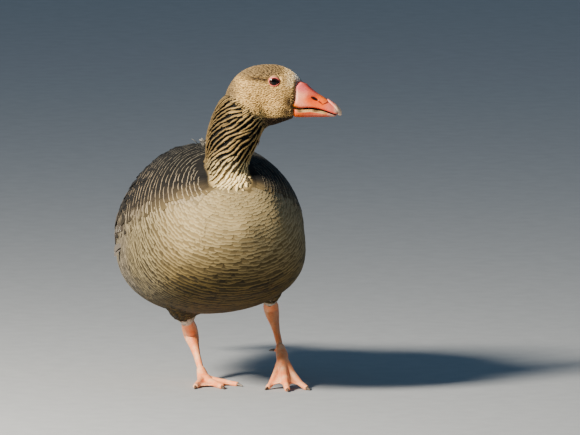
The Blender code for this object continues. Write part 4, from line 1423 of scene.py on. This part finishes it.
# %% Bill skin
NOSTRIL = (50.0, -21.9)          # forward and up in the head's frame
NOSTRIL_SIZE = (4.6, 1.6)
NOSTRIL_TILT = 26.0              # degrees, front end down
SKIN_RADIUS = (0.003, 0.001, 0.0006)     # metres that red, green and blue light spread in bare skin
LAMELLA = 1.5                    # mm between the comb's plates at the mouth's edge


def bill_material(name, base, layers, roughness, mottling):
    """Bill skin or horn: colours laid by place over a fine mottle. layers(material, place, above) gives
    the colour layers, and the masks that are pressed in."""
    material, shader = new_material(name)
    place = add_node(material, "ShaderNodeAttribute", {"attribute_name": "in_head"}).outputs["Vector"]
    above = add_node(material, "ShaderNodeAttribute", {"attribute_name": "above_mouth"}).outputs["Fac"]
    mottle = add_node(material, "ShaderNodeTexNoise", Vector=place, Scale=mottling, Detail=5.0).outputs["Fac"]
    shade = add_node(material, "ShaderNodeMapRange", Value=mottle, From_Min=0.3, From_Max=0.7, To_Min=0.84,
                     To_Max=1.08)
    laid, pressed = layers(material, place, above)
    toned = add_node(material, "ShaderNodeVectorMath", {"operation": "SCALE"},
                     _0=layered(material, base, laid), Scale=shade.outputs[0])
    height = add_node(material, "ShaderNodeMath", TIMES, _0=mottle, _1=0.3).outputs[0]
    for mask, deep in pressed:
        height = add_node(material, "ShaderNodeMath", TIMES_PLUS, _0=mask, _1=-deep, _2=height).outputs[0]
    bump = add_node(material, "ShaderNodeBump", Height=height, Strength=0.6, Distance=1.0 * MM)
    set_inputs(material, shader, Base_Color=toned.outputs[0], Normal=bump.outputs["Normal"],
               Roughness=roughness, Specular_IOR_Level=0.3, Subsurface_Weight=0.06,
               Subsurface_Radius=SKIN_RADIUS)
    return material


def upper_layers(material, place, above):
    def patch(*where, **more):
        return oval_mask(material, place, *where, **more)

    # painted shade: the near-black slit stands for the dark inside the nostril's opening
    slit = patch(NOSTRIL, NOSTRIL_SIZE, turn=NOSTRIL_TILT, soft=0.25)
    line_down = patch((56.6, -26.2), (3.6, 0.8), turn=38, soft=0.7)
    line_up = patch((64.0, -27.2), (4.8, 0.7), turn=-20, soft=0.7)
    hollow = patch((49, -22.5), (8.5, 5.0), turn=22)
    lip = band_mask(material, above, 0.3, 2.6, 0.7)
    # painted shade: a near-black band along the mouth's line stands for the shadow in the slit between the
    # halves
    mouth = band_mask(material, above, -2.0, 0.7, 0.35)
    laid = ((patch((31, -20), (9, 10), soft=0.6), 0.9, "FFA07A"),
            (patch((38, -27), (10, 6), soft=0.6), 0.7, "FB9168"),
            (patch((27.5, -16), (1.8, 8), soft=0.6), 0.6, "F5C4AC"),
            (patch((33, -8), (8, 5), turn=25, soft=0.6), 0.8, "E2646A"),
            (patch((46, -10), (12, 2.6), turn=40, soft=0.6), 0.7, "E24A3C"),
            (patch((53, -26.5), (16, 6.5), turn=14, soft=0.5), 1.0, "F86200"),
            (patch((60, -22), (8, 3.6), turn=30, soft=0.5), 1.0, "F56A06"),
            (patch((71, -31), (8, 7), soft=0.6), 0.8, "EE7A68"),
            # the tip's own pale horn, made paler still as painted light on a side that turns away from the
            # lamp
            (patch((81, -37), (6.5, 9), soft=0.5), 0.9, "FFD8B8"),
            (hollow, 0.5, "DE3E18"), (lip, 0.7, "E03C28"),
            (patch((23, -30), (6, 3.4), soft=0.5), 0.95, "F07A12"),
            (line_down, 0.9, "5A160A"), (line_up, 0.9, "5A160A"), (slit, 1.0, "220604"),
            (mouth, 0.98, "140703"))
    return laid, ((hollow, 0.25), (slit, 1.4), (line_down, 0.5), (line_up, 0.5))


def lower_layers(material, place, above):
    def patch(*where, soft=0.6):
        return oval_mask(material, place, *where, soft=soft)

    forward = add_node(material, "ShaderNodeSeparateXYZ", Vector=place).outputs["X"]
    turns = add_node(material, "ShaderNodeMath", TIMES, _0=forward, _1=2 * pi / LAMELLA)
    wave = add_node(material, "ShaderNodeMath", {"operation": "SINE"}, _0=turns.outputs[0])
    plates = add_node(material, "ShaderNodeMapRange", Value=wave.outputs[0], From_Min=0.0, From_Max=0.9)
    comb = add_node(material, "ShaderNodeMath", TIMES, _0=plates.outputs[0],
                    _1=band_mask(material, above, -3.2, 0.0, 0.4)).outputs[0]
    grin = add_node(material, "ShaderNodeMath", TIMES, _0=band_mask(material, above, -4.4, 0.0, 0.5),
                    _1=patch((47, -35), (19, 9), soft=0.2)).outputs[0]
    # painted shade: dark stripes between the comb's plates and two dark gaps in the pale grin stand for the
    # shadow in these openings
    combed, front_gap, rear_gap = (
        add_node(material, "ShaderNodeMath", TIMES, _0=grin, _1=mask).outputs[0]
        for mask in (comb, patch((51, -36.5), (4, 1.6)), patch((31, -37), (4, 1.8))))
    # painted shade: a near-black band along the mouth's line, the shadow in the slit between the halves
    mouth = band_mask(material, above, -1.2, 1.0, 0.35)
    laid = ((patch((27, -41), (8, 4)), 0.9, "E9640C"),
            (patch((52, -42), (14, 2.2)), 0.7, "EC7758"),
            (patch((72, -41), (6, 3)), 0.8, "F2C7AE"),
            (grin, 0.9, "E6BE78"), (combed, 0.95, "3A2210"), (front_gap, 0.8, "2E1A0C"),
            (rear_gap, 0.8, "2E1A0C"), (mouth, 0.95, "170804"))
    return laid, ((combed, 0.5),)


def nail_layers(material, place, above):
    root = oval_mask(material, place, (68, -24), (10, 9), soft=0.5)
    return ((root, 0.95, "F0836E"),), ()


bill_skin = bill_material("bill skin over horn", "E5664C", upper_layers, 0.36, 0.42)
lower_bill_skin = bill_material("lower bill skin", "E6551F", lower_layers, 0.36, 0.42)
# the nail is pale horn, and its colour is raised further as painted light, since the tip faces away from the
# lamp
nail_horn = bill_material("pale bill nail horn", "FFD2AE", nail_layers, 0.36, 0.7)
print("bill finishes: 3")

# %% The bill's halves
BILL_CUTS = 2
HOLLOW_SIZE = (9.0, 4.5)
BILL_SINK = 3.2                  # how far its root goes in under the feathers


def fine_copy(node, push=None, rounds=1, swell=0.0):
    """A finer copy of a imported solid. push(own) moves its sides inwards, in mm, and swell moves all of it
    outwards."""
    bm = bmesh.new()
    bm.from_mesh(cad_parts[node].data)
    bmesh.ops.remove_doubles(bm, verts=bm.verts, dist=0.002 * MM)
    bmesh.ops.subdivide_edges(bm, edges=bm.edges, cuts=BILL_CUTS, use_grid_fill=True)
    bmesh.ops.triangulate(bm, faces=bm.faces)
    for _ in range(rounds):
        bmesh.ops.smooth_vert(bm, verts=bm.verts, factor=0.35, use_axis_x=True, use_axis_y=True,
                              use_axis_z=True)
    own = in_head(np.array([v.co for v in bm.verts]) / MM)
    bm.normal_update()
    for vert, deep in zip(bm.verts, ease(1.5, -1.5, own[:, 0] - feather_edge(own))):
        vert.co += vert.normal * (swell - deep * BILL_SINK) * MM
    if push:
        inwards = -np.sign(own[:, 1])[:, None] * LEFTWARD * ease(2.0, 5.0, np.abs(own[:, 1]))[:, None]
        for vert, move in zip(bm.verts, inwards * push(own)[:, None]):
            vert.co += Vector(move) * MM
    bmesh.ops.recalc_face_normals(bm, faces=bm.faces)
    return bm


def nostril_push(own):
    return 0.8 * oval(own, (NOSTRIL[0] + 1, NOSTRIL[1]), HOLLOW_SIZE) + 1.2 * oval(own, NOSTRIL, (4, 1.6))


def make_bill_piece(name, node, material, slot, **shape):
    piece = object_from(name, fine_copy(node, **shape))
    store_places(piece.data)
    return dress(piece, material, slot, node)


make_bill_piece("bill_top", "bill_upper", bill_skin, "bill_skin", push=nostril_push)
make_bill_piece("bill_bottom", "bill_lower", lower_bill_skin, "bill_skin")
make_bill_piece("bill_tip_nail", "bill_nail", nail_horn, "horn", rounds=5, swell=0.45)
print("bill: 3 pieces")

# %% [markdown]
# ## Legs and feet
# A goose's legs are bare and scaled. Shank and foot are wrapped in one fine shell, and a pattern of small
# cells draws the seams between the scales.

# %% Leg skin
LEG_VOXEL = 1.0
SCALE_SIZE = 1.9


def leg_material():
    material, shader = new_material("scaled leg skin")
    place = add_node(material, "ShaderNodeTexCoord").outputs["Object"]
    scales = add_node(material, "ShaderNodeTexVoronoi", {"feature": "DISTANCE_TO_EDGE"}, Vector=place,
                      Scale=1 / (SCALE_SIZE * MM))
    seam = add_node(material, "ShaderNodeMapRange", SMOOTH, Value=scales.outputs["Distance"], From_Min=0.0,
                    From_Max=0.22).outputs[0]
    stops = ((0.3, "FF8A4C"), (0.55, "FFA772"), (0.75, "FFC59A"))
    patches = add_node(material, "ShaderNodeTexNoise", Vector=place, Scale=90.0, Detail=3.0)
    tone = add_node(material, "ShaderNodeValToRGB", {"stops": stops}, Fac=patches.outputs["Fac"])
    shade = add_node(material, "ShaderNodeMapRange", Value=seam, To_Min=0.84, To_Max=1.0)
    toned = add_node(material, "ShaderNodeVectorMath", {"operation": "SCALE"}, _0=tone.outputs["Color"],
                     Scale=shade.outputs[0])
    bump = add_node(material, "ShaderNodeBump", Height=seam, Strength=0.5, Distance=0.2 * MM)
    set_inputs(material, shader, Base_Color=toned.outputs[0], Normal=bump.outputs["Normal"], Roughness=0.45,
               Subsurface_Weight=0.12, Subsurface_Radius=SKIN_RADIUS)
    return material


def make_leg(side_name):
    nodes = ("shank_" + side_name, "foot_" + side_name)
    shell = wrapped(nodes, LEG_VOXEL, 2, 0.25)
    for vert in shell.verts:
        vert.co.z = max(vert.co.z, 0.0)
    piece = object_from("leg_skin_" + side_name, shell)
    print(piece.name, "faces:", len(piece.data.polygons))
    return dress(piece, scaled_skin, "leg_skin", *nodes)


scaled_skin = leg_material()
for side_name in ("left", "right"):
    make_leg(side_name)

# %% [markdown]
# ## Claws
# Claws are dark horn with a fine mottle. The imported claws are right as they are, so they only get a finish.

# %% Claw finish
claw_horn = grained("dark claw horn", ("3E342C", "6B5A4A"), 500.0, relief=(0.3, 0.1), Roughness=0.35)
claws = [obj for name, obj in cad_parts.items() if name.startswith("claw_")]
for claw in claws:
    claw.data.materials.clear()
    claw.data.materials.append(claw_horn)
print("claws:", len(claws))

# %% [markdown]
# ## Floor, light and camera
# A plain pale floor, one soft lamp high on the left in front, as a low sun would stand, a weak fill from the
# right, and an even sky. The camera looks a little down from in front of the bird, from far off with a long
# lens, which keeps the proportions true.

# %% Floor and lights
FLOOR_SIZE = 60.0
bm = bmesh.new()
bmesh.ops.create_grid(bm, x_segments=1, y_segments=1, size=FLOOR_SIZE / 2)
studio_floor = object_from("studio_floor", bm)
studio_floor.data.materials.append(grained("matt studio floor", ("92959A", "989BA0"), 40.0, Roughness=0.9))
studio_floor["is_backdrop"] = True

BIRD_MIDDLE = Vector((MIDDLE, -60, 200)) * MM


def soft_lamp(name, azimuth, elevation, distance, size, power, tint):
    """A square lamp aimed at the bird. Azimuth 0 is in front of it, and grows to its left."""
    a, e = radians(azimuth), radians(elevation)
    data = bpy.data.lights.new(name, "AREA")
    data.size = size
    data.energy = power
    data.color = tint
    lamp = bpy.data.objects.new(name, data)
    lamp.location = BIRD_MIDDLE + Vector((sin(a) * cos(e), -cos(a) * cos(e), sin(e))) * distance
    lamp.rotation_mode = "QUATERNION"
    lamp.rotation_quaternion = (BIRD_MIDDLE - lamp.location).to_track_quat("-Z", "Y")
    bpy.context.scene.collection.objects.link(lamp)
    return lamp


soft_lamp("key", -64, 33, 2.6, 0.55, 275, (1.0, 0.92, 0.77))
soft_lamp("fill", 60, 25, 3.0, 1.6, 1.0, (0.85, 0.92, 1.0))
world = bpy.data.worlds.new("even sky")
world.use_nodes = True
sky = world.node_tree.nodes["Background"]
sky.inputs["Color"].default_value = (0.40, 0.68, 1.0, 1.0)
sky.inputs["Strength"].default_value = 0.24
bpy.context.scene.world = world

# %% Camera
AIM = Vector((85.9, -67.0, 204.5)) * MM         # what stands in the middle of the view
CAMERA_TURN = radians(-14)
CAMERA_RISE = radians(6)
CAMERA_DISTANCE = 25.0
VIEW_WIDTH = 0.7076                              # metres across the view at the bird

back = Vector((sin(CAMERA_TURN) * cos(CAMERA_RISE), -cos(CAMERA_TURN) * cos(CAMERA_RISE), sin(CAMERA_RISE)))
lens_data = bpy.data.cameras.new("camera")
lens_data.sensor_width = 36.0
lens_data.lens = 36.0 * CAMERA_DISTANCE / VIEW_WIDTH
lens_data.clip_end = 100.0
camera = bpy.data.objects.new("camera", lens_data)
camera.location = AIM + back * CAMERA_DISTANCE
camera.rotation_mode = "QUATERNION"
camera.rotation_quaternion = (-back).to_track_quat("-Z", "Y")
bpy.context.scene.collection.objects.link(camera)
bpy.context.scene.camera = camera
print("lens mm:", round(lens_data.lens))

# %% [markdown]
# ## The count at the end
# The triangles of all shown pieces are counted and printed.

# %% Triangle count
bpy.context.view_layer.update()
total = sum(sum(len(p.vertices) - 2 for p in o.data.polygons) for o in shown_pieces() if o.type == "MESH")
print("triangles in all:", total)
